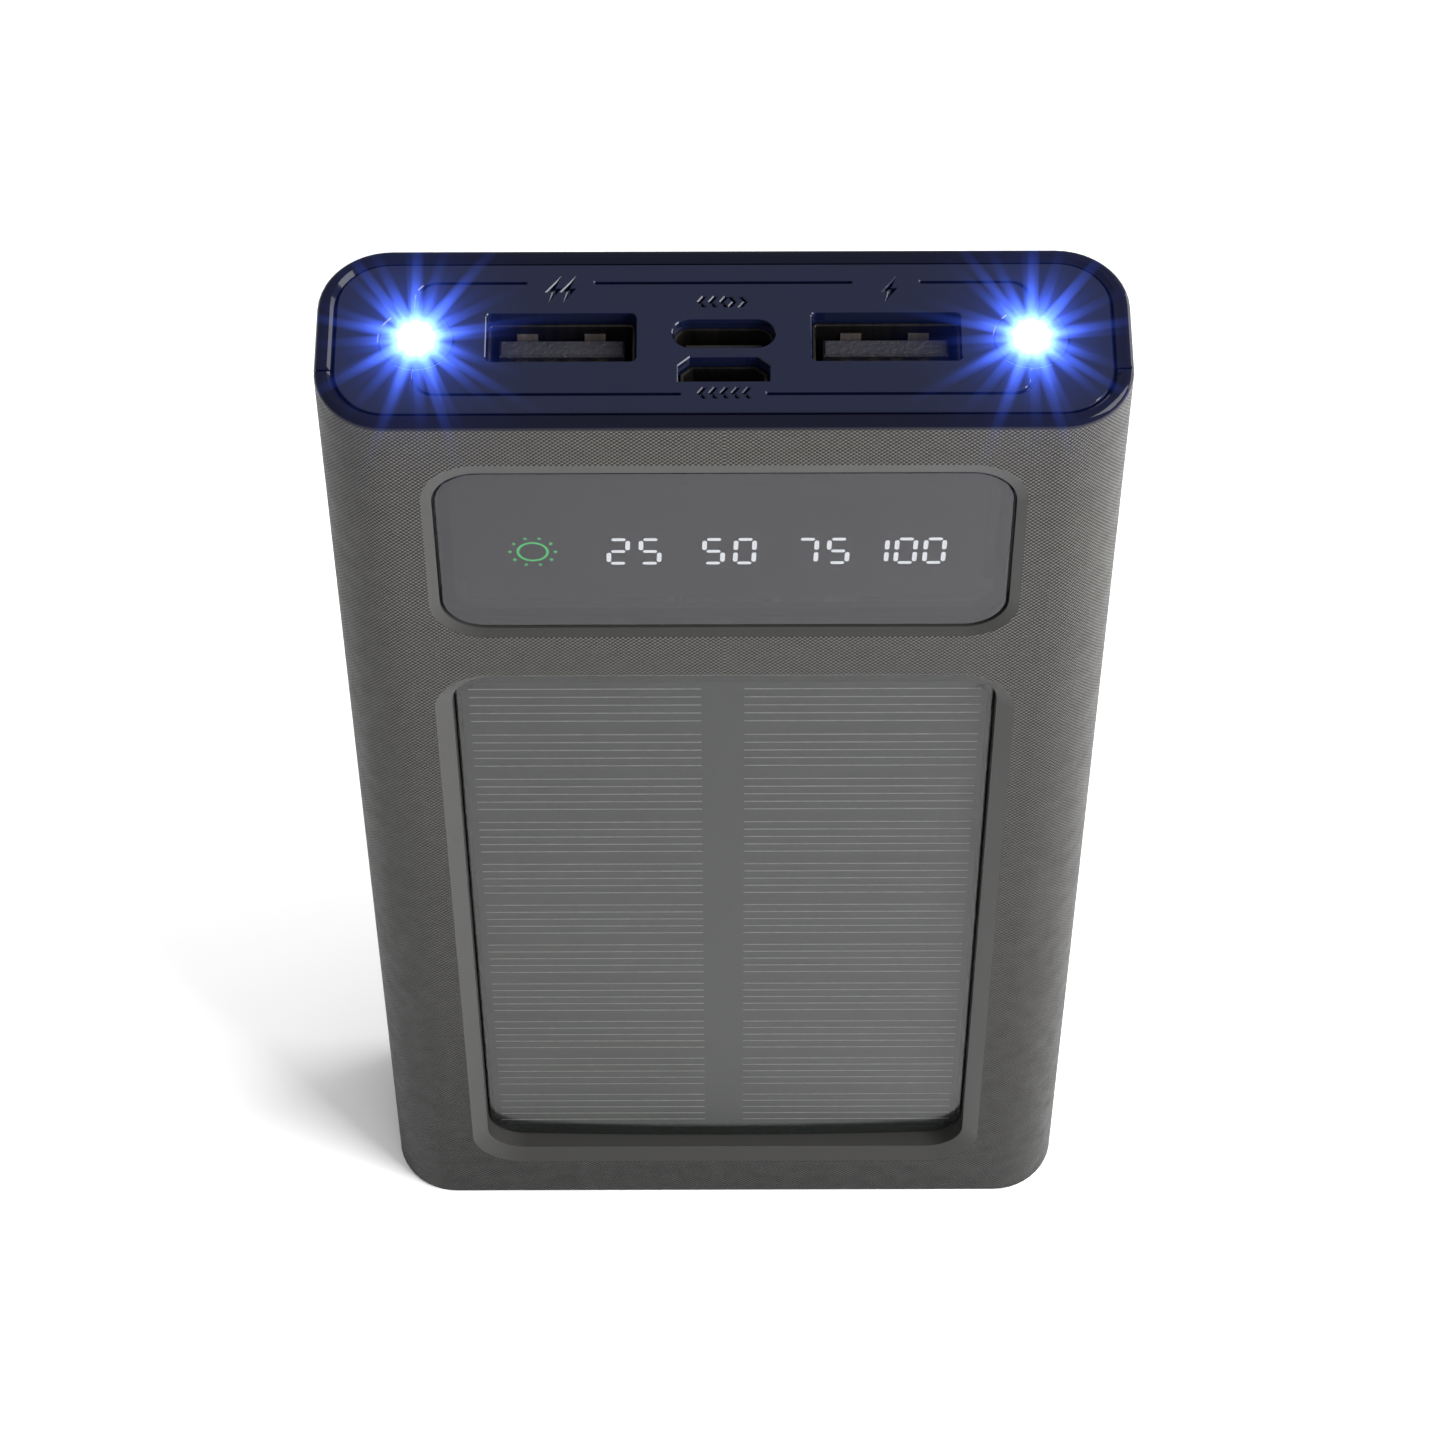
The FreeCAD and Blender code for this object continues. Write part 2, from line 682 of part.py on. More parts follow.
def rear_cover(blank):
    """Deep rear shell with battery rails, board bosses and the joining lip."""
    cover = blank.common(everywhere_between(PARTING_Y + PARTING_GAP / 2, CASE_DEPTH))
    cover = cover.fuse(lip_frame(0))
    for side in (-1, 1):
        boss = rod_y(BOSS_RADIUS, side * SCREW_X, SCREW_Z, BOARD_REAR_Y, INNER_REAR_Y + WALL_OVERLAP)
        rail_x = side * RAIL_X
        rail = box(
            rail_x - RAIL_THICKNESS / 2,
            rail_x + RAIL_THICKNESS / 2,
            RAIL_FRONT_Y,
            INNER_REAR_Y + WALL_OVERLAP,
            RAIL_Z[0],
            RAIL_Z[1],
        )
        cover = cover.fuse(boss).fuse(rail)
    for side in (-1, 1):
        pilot_end = BOARD_FRONT_Y + SCREW_LENGTH + PILOT_EXTRA
        cover = cover.cut(rod_y(SCREW_RADIUS + PILOT_GAP, side * SCREW_X, SCREW_Z, BOARD_REAR_Y, pilot_end))
    cover = cut_all(cover, hook_pockets() + [button_opening()])
    return cover.removeSplitter()


def micro_outline(size, chamfer, y_middle):
    """Plan points of the micro socket shape, with slanted rear corners."""
    half_x = size[0] / 2
    front = y_middle - size[1] / 2
    rear = y_middle + size[1] / 2
    return [
        (-half_x, front),
        (half_x, front),
        (half_x, rear - chamfer[1]),
        (half_x - chamfer[0], rear),
        (-half_x + chamfer[0], rear),
        (-half_x, rear - chamfer[1]),
    ]


def stadium(size, y_middle, z0, z1):
    """Upright stadium block with round ends left and right."""
    half_x = size[0] / 2
    radius = size[1] / 2
    return plan_prism(half_x, y_middle - radius, y_middle + radius, radius - 0.001, z0, z1)


def engraving(sections):
    """Engraved mark with sloped walls; sections gives its outline for a growth."""
    floor_z = PANEL_TOP - ENGRAVING_DEPTH
    slope_z = PANEL_TOP - ENGRAVING_SLOPE
    straight = Part.Face(sections(0, floor_z)).extrude(Z_AXIS * (ENGRAVING_DEPTH + 1))
    sloped = Part.makeLoft([sections(0, slope_z), sections(ENGRAVING_SLOPE, PANEL_TOP)], True, True)
    return straight.fuse(sloped)


def line_run(start, end):
    """Straight engraved stroke with round ends between two plan points."""
    run = Vector(end[0] - start[0], end[1] - start[1], 0)
    along = Vector(run).normalize()
    across = Vector(-along.y, along.x, 0)

    def outline(grow, z):
        radius = FRAME_LINE_WIDTH / 2 + grow
        first = Vector(start[0], start[1], z)
        last = Vector(end[0], end[1], z)
        return Part.Wire([
            Part.LineSegment(first - across * radius, last - across * radius).toShape(),
            Part.Arc(last - across * radius, last + along * radius, last + across * radius).toShape(),
            Part.LineSegment(last + across * radius, first + across * radius).toShape(),
            Part.Arc(first + across * radius, first - along * radius, first - across * radius).toShape(),
        ])

    return engraving(outline)


def line_corner(side, front_or_rear):
    """Quarter turn of the frame line, from its straight run to the torch side."""
    bend_x = FRAME_LINE_X - FRAME_LINE_RADIUS
    bend_y = FRAME_LINE_Y - FRAME_LINE_RADIUS
    center = Vector(side * bend_x, front_or_rear * bend_y, 0)
    diagonal = Vector(side, front_or_rear, 0).normalize()

    def outline(grow, z):
        outer = FRAME_LINE_RADIUS + FRAME_LINE_WIDTH / 2 + grow
        inner = FRAME_LINE_RADIUS - FRAME_LINE_WIDTH / 2 - grow
        middle = center + Z_AXIS * z
        out_x = X_AXIS * side
        out_y = Y_AXIS * front_or_rear
        return Part.Wire([
            Part.Arc(middle + out_x * outer, middle + diagonal * outer, middle + out_y * outer).toShape(),
            Part.LineSegment(middle + out_y * outer, middle + out_y * inner).toShape(),
            Part.Arc(middle + out_y * inner, middle + diagonal * inner, middle + out_x * inner).toShape(),
            Part.LineSegment(middle + out_x * inner, middle + out_x * outer).toShape(),
        ])

    return engraving(outline)


def frame_line():
    """Engraved line around the ports, open at its legends and torches."""
    half = FRAME_LINE_WIDTH / 2
    bend_x = FRAME_LINE_X - FRAME_LINE_RADIUS
    bend_y = FRAME_LINE_Y - FRAME_LINE_RADIUS
    torch_reach = math.sqrt((TORCH_HOLE_RADIUS + TORCH_LINE_CLEARANCE) ** 2 - (FRAME_LINE_X - TORCH_X) ** 2)
    left_gap, right_gap = REAR_LINE_GAPS
    front_start, front_end = FRONT_LINE_GAP
    tools = [
        line_run((-bend_x, FRAME_LINE_Y), (left_gap[0] - half, FRAME_LINE_Y)),
        line_run((left_gap[1] + half, FRAME_LINE_Y), (right_gap[0] - half, FRAME_LINE_Y)),
        line_run((right_gap[1] + half, FRAME_LINE_Y), (bend_x, FRAME_LINE_Y)),
        line_run((-bend_x, -FRAME_LINE_Y), (front_start - half, -FRAME_LINE_Y)),
        line_run((front_end + half, -FRAME_LINE_Y), (bend_x, -FRAME_LINE_Y)),
    ]
    for side in (-1, 1):
        x = side * FRAME_LINE_X
        tools.append(line_run((x, bend_y), (x, TORCH_Y + torch_reach)))
        tools.append(line_run((x, -bend_y), (x, TORCH_Y - torch_reach)))
        tools += [line_corner(side, 1), line_corner(side, -1)]
    return tools


def polygon_mark(points):
    """Engraved polygon with sloped walls."""
    def outline(grow, z):
        wire = Part.makePolygon([Vector(x, y, z) for x, y in points + points[:1]])
        return wire.makeOffset2D(grow, 2) if grow else wire

    return engraving(outline)


def bolt_mark(x, y):
    """Engraved lightning bolt."""
    return polygon_mark([(x + px, y + py) for px, py in BOLT_POINTS])


def chevron_mark(x, y, direction):
    """Engraved chevron that points left (-1) or right (1)."""
    half_width = CHEVRON_SIZE[0] / 2
    half_height = CHEVRON_SIZE[1] / 2
    tip = direction * half_width
    step = direction * CHEVRON_STROKE
    return polygon_mark([
        (x - tip, y + half_height),
        (x + tip, y),
        (x - tip, y - half_height),
        (x - tip - step, y - half_height),
        (x + tip - step, y),
        (x - tip - step, y + half_height),
    ])


def chevron_row(center, directions):
    """Row of engraved chevrons, one for each direction given."""
    marks = []
    for index, direction in enumerate(directions):
        x = center[0] + (index - (len(directions) - 1) / 2) * CHEVRON_PITCH
        marks.append(chevron_mark(x, center[1], direction))
    return marks


def usb_a_mouth():
    """Openings in the panel for the left type A socket: rounded mouth and shell pocket."""
    mouth_x, mouth_y = USB_A_MOUTH[0] / 2, USB_A_MOUTH[1] / 2
    mouth = plan_prism(
        mouth_x,
        USB_A_MOUTH_Y - mouth_y,
        USB_A_MOUTH_Y + mouth_y,
        USB_A_CORNER,
        PANEL_TOP - USB_A_MOUTH_LENGTH,
        PANEL_TOP,
    )
    pocket_x = USB_A_OUTER[0] / 2 + USB_A_OPENING_GAP
    pocket_y = USB_A_OUTER[1] / 2 + USB_A_OPENING_GAP
    pocket = plan_prism(
        pocket_x,
        USB_A_Y - pocket_y,
        USB_A_Y + pocket_y,
        USB_A_CORNER + USB_A_OPENING_GAP,
        PANEL_BOTTOM - 1,
        PANEL_TOP - USB_A_MOUTH_LENGTH,
    )
    opening = mouth.fuse(pocket)
    opening.translate(Vector(-USB_A_X, 0, 0))
    return opening


def is_panel_rim(bounds):
    """True for a top edge on the outline of the panel rather than round an opening."""
    reach_x = max(abs(bounds.XMin), abs(bounds.XMax))
    reach_y = max(abs(bounds.YMin), abs(bounds.YMax))
    return reach_x > TORCH_X + TORCH_HOLE_RADIUS + 0.1 or reach_y > INNER_REAR_Y - PANEL_GAP - 0.1


def port_openings():
    """Every opening through the panel."""
    through_base = PANEL_BOTTOM - TORCH_TUBE_LENGTH - 1
    left_a = usb_a_mouth()
    return [
        left_a,
        mirror_x(left_a),
        stadium(USB_C_OPENING, USB_C_Y, through_base, PANEL_TOP),
        polygon_prism(micro_outline(MICRO_OPENING, MICRO_CHAMFER, MICRO_Y), through_base, PANEL_TOP),
        post(TORCH_HOLE_RADIUS, -TORCH_X, TORCH_Y, through_base, PANEL_TOP),
        post(TORCH_HOLE_RADIUS, TORCH_X, TORCH_Y, through_base, PANEL_TOP),
    ]


def port_panel():
    """Gloss panel with the port openings, torch tubes and engraved marks."""
    plate = plan_prism(
        INNER_X - PANEL_GAP,
        INNER_FRONT_Y + PANEL_GAP,
        INNER_REAR_Y - PANEL_GAP,
        CORNER_RADIUS - SIDE_WALL - PANEL_GAP,
        PANEL_BOTTOM,
        PANEL_TOP,
    )
    tube_radius = TORCH_HOLE_RADIUS + TORCH_TUBE_WALL
    tube_base = PANEL_BOTTOM - TORCH_TUBE_LENGTH
    for side in (-1, 1):
        plate = plate.fuse(post(tube_radius, side * TORCH_X, TORCH_Y, tube_base, PANEL_BOTTOM))
    panel = cut_all(plate, port_openings()).removeSplitter()
    mouths = edges_where(panel, lambda b: b.ZMin > PANEL_TOP - 0.01 and not is_panel_rim(b))
    panel = panel.makeChamfer(OPENING_CHAMFER, mouths)
    rim = edges_where(panel, lambda b: b.ZMin > PANEL_TOP - 0.01 and is_panel_rim(b))
    panel = panel.makeChamfer(PANEL_CHAMFER, rim)
    marks = frame_line() + [bolt_mark(x, y) for x, y in BOLT_MARKS]
    marks += chevron_row(TWO_WAY_MARK, (-1, -1, -1, 1, 1))
    marks += chevron_row(ONE_WAY_MARK, (-1, -1, -1, -1, -1))
    return cut_all(panel, marks).removeSplitter()


def torch_lens():
    """Clear lens with a low dome, left torch."""
    top = PANEL_TOP
    base = top - TORCH_LENS_RIM
    rim = post(TORCH_LENS_RADIUS, -TORCH_X, TORCH_Y, base, top)
    ball_radius = (TORCH_LENS_RADIUS**2 + TORCH_DOME_RISE**2) / (2 * TORCH_DOME_RISE)
    ball = Part.makeSphere(ball_radius, Vector(-TORCH_X, TORCH_Y, top + TORCH_DOME_RISE - ball_radius))
    cap = ball.common(post(TORCH_LENS_RADIUS, -TORCH_X, TORCH_Y, top, top + TORCH_DOME_RISE + 0.1))
    return fuse_all([rim, cap])


def torch_led():
    """Round lamp with a flange and a domed tip, left torch."""
    shoulder = TORCH_LED_TOP - TORCH_LED_RADIUS
    flange_top = TORCH_LED_BASE + TORCH_LED_FLANGE
    flange = post(TORCH_LED_FLANGE_RADIUS, -TORCH_X, TORCH_Y, TORCH_LED_BASE, flange_top)
    body = post(TORCH_LED_RADIUS, -TORCH_X, TORCH_Y, flange_top, shoulder)
    tip = Part.makeSphere(TORCH_LED_RADIUS, Vector(-TORCH_X, TORCH_Y, shoulder))
    upper = tip.common(post(TORCH_LED_RADIUS + 1, -TORCH_X, TORCH_Y, shoulder, TORCH_LED_TOP + 1))
    return fuse_all([flange, body, upper])


def torch_leads():
    """Four formed leads from the lamps down the rear face of the board."""
    solder_y = BOARD_REAR_Y + LED_LEAD_RADIUS
    leads = []
    for torch in (-TORCH_X, TORCH_X):
        for side in (-1, 1):
            x = torch + side * LED_LEAD_PITCH / 2
            points = [
                (x, TORCH_Y, TORCH_LED_BASE),
                (x, TORCH_Y, TORCH_LED_BASE - LED_LEAD_STRAIGHT),
                (x, solder_y, TORCH_LED_BASE - LED_LEAD_STRAIGHT - LED_LEAD_JOG),
                (x, solder_y, BOARD_WING_Z - LED_LEAD_OVERLAP),
            ]
            leads.append(lead(points, LED_LEAD_RADIUS, LED_LEAD_BEND))
    return leads


def usb_a_shell():
    """Folded metal shell of the left type A socket with its retention springs."""
    top = PANEL_TOP - USB_A_MOUTH_DEPTH
    base = top - USB_A_LENGTH
    half_x = USB_A_OUTER[0] / 2
    half_y = USB_A_OUTER[1] / 2
    inner_x = half_x - USB_A_SHEET
    inner_y = half_y - USB_A_SHEET
    outer = plan_prism(half_x, -half_y, half_y, USB_A_CORNER, base, top)
    bore = plan_prism(inner_x, -inner_y, inner_y, USB_A_CORNER - USB_A_SHEET, base, top)
    shell = outer.cut(bore)
    shell = shell.makeChamfer(USB_A_EDGE_CHAMFER, edges_where(shell, lambda b: b.ZMin > top - 0.01))
    root, bend, end = (top + height for height in USB_A_SPRING_HEIGHTS)
    for spring_x in USB_A_SPRINGS_X:
        x0 = spring_x - USB_A_SPRING_WIDTH / 2
        for side in (-1, 1):
            points = [
                Vector(x0, side * inner_y, root),
                Vector(x0, side * (inner_y - USB_A_SPRING_RISE), bend),
                Vector(x0, side * inner_y, end),
            ]
            spring = Part.Face(Part.makePolygon(points + points[:1])).extrude(X_AXIS * USB_A_SPRING_WIDTH)
            shell = shell.fuse(spring)
    shell = shell.removeSplitter()
    shell.translate(Vector(-USB_A_X, USB_A_Y, 0))
    return shell


def usb_a_tongue():
    """Insulator of the left type A socket: tongue on the rear side and its base block."""
    inner_rear = USB_A_Y + USB_A_OUTER[1] / 2 - USB_A_SHEET
    rear = inner_rear - USB_A_TONGUE_REAR_GAP
    front = rear - USB_A_TONGUE[1]
    tip = PANEL_TOP - USB_A_TONGUE_DEPTH
    base = PANEL_TOP - USB_A_MOUTH_DEPTH - USB_A_LENGTH
    half = USB_A_TONGUE[0] / 2
    tongue = box(-USB_A_X - half, -USB_A_X + half, front, rear, base, tip)
    front_tip = edges_where(tongue, lambda b: b.ZMin > tip - 0.01)
    tongue = tongue.makeChamfer(USB_A_TONGUE_CHAMFER, front_tip)
    block_x = USB_A_OUTER[0] / 2 - USB_A_SHEET - USB_A_BLOCK_GAP
    block_y = USB_A_OUTER[1] / 2 - USB_A_SHEET - USB_A_BLOCK_GAP
    corner = USB_A_CORNER - USB_A_SHEET
    block = plan_prism(block_x, -block_y, block_y, corner, base, base + USB_A_BLOCK_HEIGHT)
    block.translate(Vector(-USB_A_X, USB_A_Y, 0))
    return fuse_all([tongue, block])


def usb_a_contacts():
    """Four contact strips on the front of the left type A tongue."""
    inner_rear = USB_A_Y + USB_A_OUTER[1] / 2 - USB_A_SHEET
    front = inner_rear - USB_A_TONGUE_REAR_GAP - USB_A_TONGUE[1]
    width, thickness, length = USB_A_CONTACT
    base = PANEL_TOP - USB_A_MOUTH_DEPTH - USB_A_LENGTH + USB_A_BLOCK_HEIGHT
    strips = []
    for offset in USB_A_CONTACTS_X:
        x = -USB_A_X + offset
        strips.append(box(x - width / 2, x + width / 2, front - thickness, front, base, base + length))
    return strips


def usb_c_shell():
    """Rounded metal shell of the type C socket."""
    top = PANEL_TOP - USB_C_MOUTH_DEPTH
    base = top - USB_C_LENGTH
    inner = (USB_C_OUTER[0] - 2 * USB_C_SHEET, USB_C_OUTER[1] - 2 * USB_C_SHEET)
    return stadium(USB_C_OUTER, USB_C_Y, base, top).cut(stadium(inner, USB_C_Y, base, top))


def usb_c_tongue():
    """Insulator of the type C socket."""
    base = PANEL_TOP - USB_C_MOUTH_DEPTH - USB_C_LENGTH
    tip = PANEL_TOP - USB_C_TONGUE_DEPTH
    tongue = centred_box(
        (0, USB_C_Y, (base + tip) / 2),
        (USB_C_TONGUE[0], USB_C_TONGUE[1], tip - base),
    )
    inset = 2 * (USB_C_SHEET + USB_C_BLOCK_GAP)
    block_size = (USB_C_OUTER[0] - inset, USB_C_OUTER[1] - inset)
    block = stadium(block_size, USB_C_Y, base, base + USB_C_BLOCK_HEIGHT)
    return fuse_all([tongue, block])


def usb_c_contacts():
    """Contact pads on both faces of the type C tongue."""
    tip = PANEL_TOP - USB_C_TONGUE_DEPTH
    pads = []
    for index in range(USB_C_CONTACTS):
        x = (index - (USB_C_CONTACTS - 1) / 2) * USB_C_CONTACT_PITCH
        for side in (-1, 1):
            y = USB_C_Y + side * (USB_C_TONGUE[1] + USB_C_CONTACT[1]) / 2
            z = tip - USB_C_CONTACT_DROP - USB_C_CONTACT[2] / 2
            pads.append(centred_box((x, y, z), USB_C_CONTACT))
    return pads


def micro_shell():
    """Metal shell of the micro socket with a flared mouth."""
    top = PANEL_TOP - MICRO_MOUTH_DEPTH
    base = top - MICRO_LENGTH
    outer = polygon_prism(micro_outline(MICRO_OUTER, MICRO_OUTER_CHAMFER, MICRO_Y), base, top)
    inner_size = (MICRO_OUTER[0] - 2 * MICRO_SHEET, MICRO_OUTER[1] - 2 * MICRO_SHEET)
    inner = polygon_prism(micro_outline(inner_size, MICRO_INNER_CHAMFER, MICRO_Y), base, top)
    return outer.cut(inner)


def micro_tongue():
    """Insulator of the micro socket."""
    base = PANEL_TOP - MICRO_MOUTH_DEPTH - MICRO_LENGTH
    tip = PANEL_TOP - MICRO_TONGUE_DEPTH
    y = MICRO_Y + MICRO_TONGUE_SHIFT
    tongue = centred_box((0, y, (base + tip) / 2), (MICRO_TONGUE[0], MICRO_TONGUE[1], tip - base))
    inset = 2 * (MICRO_SHEET + MICRO_BLOCK_GAP)
    inner_size = (MICRO_OUTER[0] - inset, MICRO_OUTER[1] - inset)
    block_outline = micro_outline(inner_size, MICRO_INNER_CHAMFER, MICRO_Y)
    block = polygon_prism(block_outline, base, base + MICRO_BLOCK_HEIGHT)
    return fuse_all([tongue, block])


def micro_contacts():
    """Five contact strips on the micro tongue."""
    tip = PANEL_TOP - MICRO_TONGUE_DEPTH
    y = MICRO_Y + MICRO_TONGUE_SHIFT - (MICRO_TONGUE[1] + MICRO_CONTACT[1]) / 2
    z = tip - MICRO_CONTACT_DROP - MICRO_CONTACT[2] / 2
    strips = []
    for index in range(MICRO_CONTACTS):
        x = (index - (MICRO_CONTACTS - 1) / 2) * MICRO_CONTACT_PITCH
        strips.append(centred_box((x, y, z), MICRO_CONTACT))
    return strips


def window_glass():
    """Smoked window, a flat plate with round corners."""
    z0, z1 = WINDOW_OPENING_Z
    y0 = FRONT_Y + WINDOW_SINK
    plate = face_prism(
        WINDOW_OPENING_X - WINDOW_GAP,
        z0 + WINDOW_GAP,
        z1 - WINDOW_GAP,
        WINDOW_RADIUS - WINDOW_GAP,
        y0,
        y0 + WINDOW_THICKNESS,
    )
    front = edges_where(plate, lambda b: b.YMax < y0 + 0.01)
    return plate.makeChamfer(WINDOW_EDGE, front)


def window_adhesive():
    """Thin adhesive frame between the window and its ledge."""
    z0, z1 = WINDOW_OPENING_Z
    y0 = FRONT_Y + WINDOW_SINK + WINDOW_THICKNESS
    y1 = y0 + ADHESIVE_THICKNESS
    edge = WINDOW_GAP + ADHESIVE_INSET
    outer = face_prism(WINDOW_OPENING_X - edge, z0 + edge, z1 - edge, WINDOW_RADIUS - edge, y0, y1)
    hole = WINDOW_LEDGE + ADHESIVE_INSET / 2
    inner = face_prism(WINDOW_OPENING_X - hole, z0 + hole, z1 - hole, WINDOW_RADIUS - hole, y0, y1)
    return outer.cut(inner)


def segment(x0, z0, x1, z1):
    """Light guide bar with round ends between two points of the display face."""
    y0 = FRONT_Y + WINDOW_SINK + WINDOW_THICKNESS + ADHESIVE_THICKNESS
    radius = SEGMENT_WIDTH / 2
    y1 = y0 + SEGMENT_DEPTH
    length = math.hypot(x1 - x0, z1 - z0)
    bar = Part.makeBox(length, SEGMENT_DEPTH, SEGMENT_WIDTH, Vector(0, y0, -radius))
    bar.rotate(Vector(0, 0, 0), Y_AXIS, -math.degrees(math.atan2(z1 - z0, x1 - x0)))
    bar.translate(Vector(x0, 0, z0))
    return fuse_all([bar, rod_y(radius, x0, z0, y0, y1), rod_y(radius, x1, z1, y0, y1)])


def numerals():
    """Light guide bars of the four charge levels."""
    inset = SEGMENT_WIDTH / 2
    reach = inset + SEGMENT_GAP
    left = -DIGIT_WIDTH / 2 + inset
    right = DIGIT_WIDTH / 2 - inset
    low = inset
    middle = DIGIT_HEIGHT / 2
    high = DIGIT_HEIGHT - inset
    ends = {
        "a": (left + reach, high, right - reach, high),
        "b": (right, high - reach, right, middle + reach),
        "c": (right, middle - reach, right, low + reach),
        "d": (left + reach, low, right - reach, low),
        "e": (left, middle - reach, left, low + reach),
        "f": (left, high - reach, left, middle + reach),
        "g": (left + reach, middle, right - reach, middle),
    }
    bars = []
    for digit_x, digit in NUMERALS:
        for name in SEGMENTS_OF[digit]:
            x0, z0, x1, z1 = ends[name]
            lean0 = DIGIT_LEAN * (z0 - middle)
            lean1 = DIGIT_LEAN * (z1 - middle)
            bars.append(
                segment(digit_x + x0 + lean0, DIGIT_BASE_Z + z0, digit_x + x1 + lean1, DIGIT_BASE_Z + z1)
            )
    return bars


def sun_icon():
    """Light guide ring and dots of the solar charging icon."""
    y0 = FRONT_Y + WINDOW_SINK + WINDOW_THICKNESS + ADHESIVE_THICKNESS
    y1 = y0 + SEGMENT_DEPTH
    z = DIGIT_BASE_Z + DIGIT_HEIGHT / 2
    outer = rod_y(SUN_RADIUS + SUN_LINE / 2, SUN_X, z, y0, y1)
    inner = rod_y(SUN_RADIUS - SUN_LINE / 2, SUN_X, z, y0, y1)
    parts = [outer.cut(inner)]
    for index in range(SUN_DOTS):
        angle = 2 * math.pi * index / SUN_DOTS
        dot_x = SUN_X + SUN_DOT_ORBIT * math.cos(angle)
        dot_z = z + SUN_DOT_ORBIT * math.sin(angle)
        parts.append(rod_y(SUN_DOT_RADIUS, dot_x, dot_z, y0, y1))
    return parts


def display_housing(guides):
    """Housing block behind the window with a well for every light guide."""
    y0 = FRONT_Y + WINDOW_SINK + WINDOW_THICKNESS + ADHESIVE_THICKNESS
    block = box(-HOUSING_X, HOUSING_X, y0, y0 + HOUSING_DEPTH, HOUSING_Z[0], HOUSING_Z[1])
    return block.cut(Part.makeCompound(guides))


def display_board():
    """Small board behind the display housing."""
    y0 = FRONT_Y + WINDOW_SINK + WINDOW_THICKNESS + ADHESIVE_THICKNESS + HOUSING_DEPTH
    half_x = HOUSING_X + DISPLAY_BOARD_MARGIN
    z0 = HOUSING_Z[0] - DISPLAY_BOARD_MARGIN
    z1 = HOUSING_Z[1] + DISPLAY_BOARD_MARGIN
    return box(-half_x, half_x, y0, y0 + DISPLAY_BOARD_THICKNESS, z0, z1)


def header_pins():
    """Row of pins that joins the display board to the main board."""
    y0 = FRONT_Y + WINDOW_SINK + WINDOW_THICKNESS + ADHESIVE_THICKNESS + HOUSING_DEPTH
    y0 += DISPLAY_BOARD_THICKNESS
    half = HEADER_PIN_SIDE / 2
    pins = []
    for index in range(HEADER_PINS):
        x = (index - (HEADER_PINS - 1) / 2) * HEADER_PITCH
        pins.append(box(x - half, x + half, y0, BOARD_FRONT_Y, HEADER_PIN_Z - half, HEADER_PIN_Z + half))
    return pins


def solar_outline():
    """Half width, heights and corner radius of the solar panel."""
    half_x, z0, z1, radius = solar_inner()
    gap = SOLAR_PANEL_GAP
    return half_x - gap, z0 + gap, z1 - gap, radius - gap


def solar_adhesive():
    """Two strips of adhesive tape behind the solar panel."""
    half_x, z0, z1 = solar_outline()[:3]
    x0 = SOLAR_TAPE_INNER_X
    x1 = half_x - SOLAR_TAPE_SIDE_INSET
    y0 = SOLAR_FLOOR_Y - SOLAR_ADHESIVE
    right = box(x0, x1, y0, SOLAR_FLOOR_Y, z0 + SOLAR_TAPE_END_INSET, z1 - SOLAR_TAPE_END_INSET)
    return [mirror_x(right), right]


def solar_substrate():
    """Backing board of the solar panel."""
    half_x, z0, z1, radius = solar_outline()
    y1 = SOLAR_FLOOR_Y - SOLAR_ADHESIVE
    return face_prism(half_x, z0, z1, radius, y1 - SOLAR_SUBSTRATE, y1)


def solar_cells():
    """Row of cell strips laid side by side on the backing board."""
    y1 = SOLAR_FLOOR_Y - SOLAR_ADHESIVE - SOLAR_SUBSTRATE
    strips = []
    for index in range(SOLAR_STRIPS):
        z = SOLAR_LOWEST_STRIP_Z + index * SOLAR_STRIP_PITCH
        strips.append(
            centred_box(
                (0, y1 - SOLAR_CELL_THICKNESS / 2, z),
                (2 * SOLAR_STRIP_HALF_WIDTH, SOLAR_CELL_THICKNESS, SOLAR_STRIP_HEIGHT),
            )
        )
    return strips


def solar_resin():
    """Clear poured cover of the panel with a slightly crowned face."""
    half_x, z0, z1, radius = solar_outline()
    back_y = SOLAR_FLOOR_Y - SOLAR_ADHESIVE - SOLAR_SUBSTRATE - SOLAR_CELL_THICKNESS
    front_y = SOLAR_EDGE_Y - SOLAR_CROWN
    block = face_prism(half_x, z0, z1, radius, front_y, back_y)
    crown_radius = (half_x**2 + SOLAR_CROWN**2) / (2 * SOLAR_CROWN)
    roller = Part.makeCylinder(
        crown_radius, CASE_HEIGHT, Vector(0, front_y + crown_radius, 0), Z_AXIS
    )
    resin = block.common(roller)
    rim = edges_where(resin, lambda b: b.YMax < SOLAR_EDGE_Y + 0.05)
    return resin.makeFillet(SOLAR_EDGE_FILLET, rim)


def solar_leads(x):
    """Lead from the back of the solar panel up to the front of the main board."""
    start_y = SOLAR_FLOOR_Y - SOLAR_ADHESIVE
    run_y = BOARD_FRONT_Y - SOLAR_LEAD_RADIUS
    points = [
        (x, start_y, SOLAR_SLOT_Z),
        (x, run_y, SOLAR_SLOT_Z),
        (x, run_y, SOLDER_Z),
    ]
    return lead(points, SOLAR_LEAD_RADIUS, SOLAR_LEAD_BEND)


def cell(y0):
    """Flat pouch cell with rounded long edges."""
    width, thickness, height = CELL_SIZE
    block = box(-width / 2, width / 2, y0, y0 + thickness, CELL_BASE_Z, CELL_BASE_Z + height)
    upright = edges_where(block, lambda b: b.ZLength > height - 0.01)
    return block.makeFillet(CELL_RADIUS, upright)


def rear_cell_y():
    """Front face of the rear cell."""
    return INNER_REAR_Y - FOAM[1] - CELL_SIZE[1]


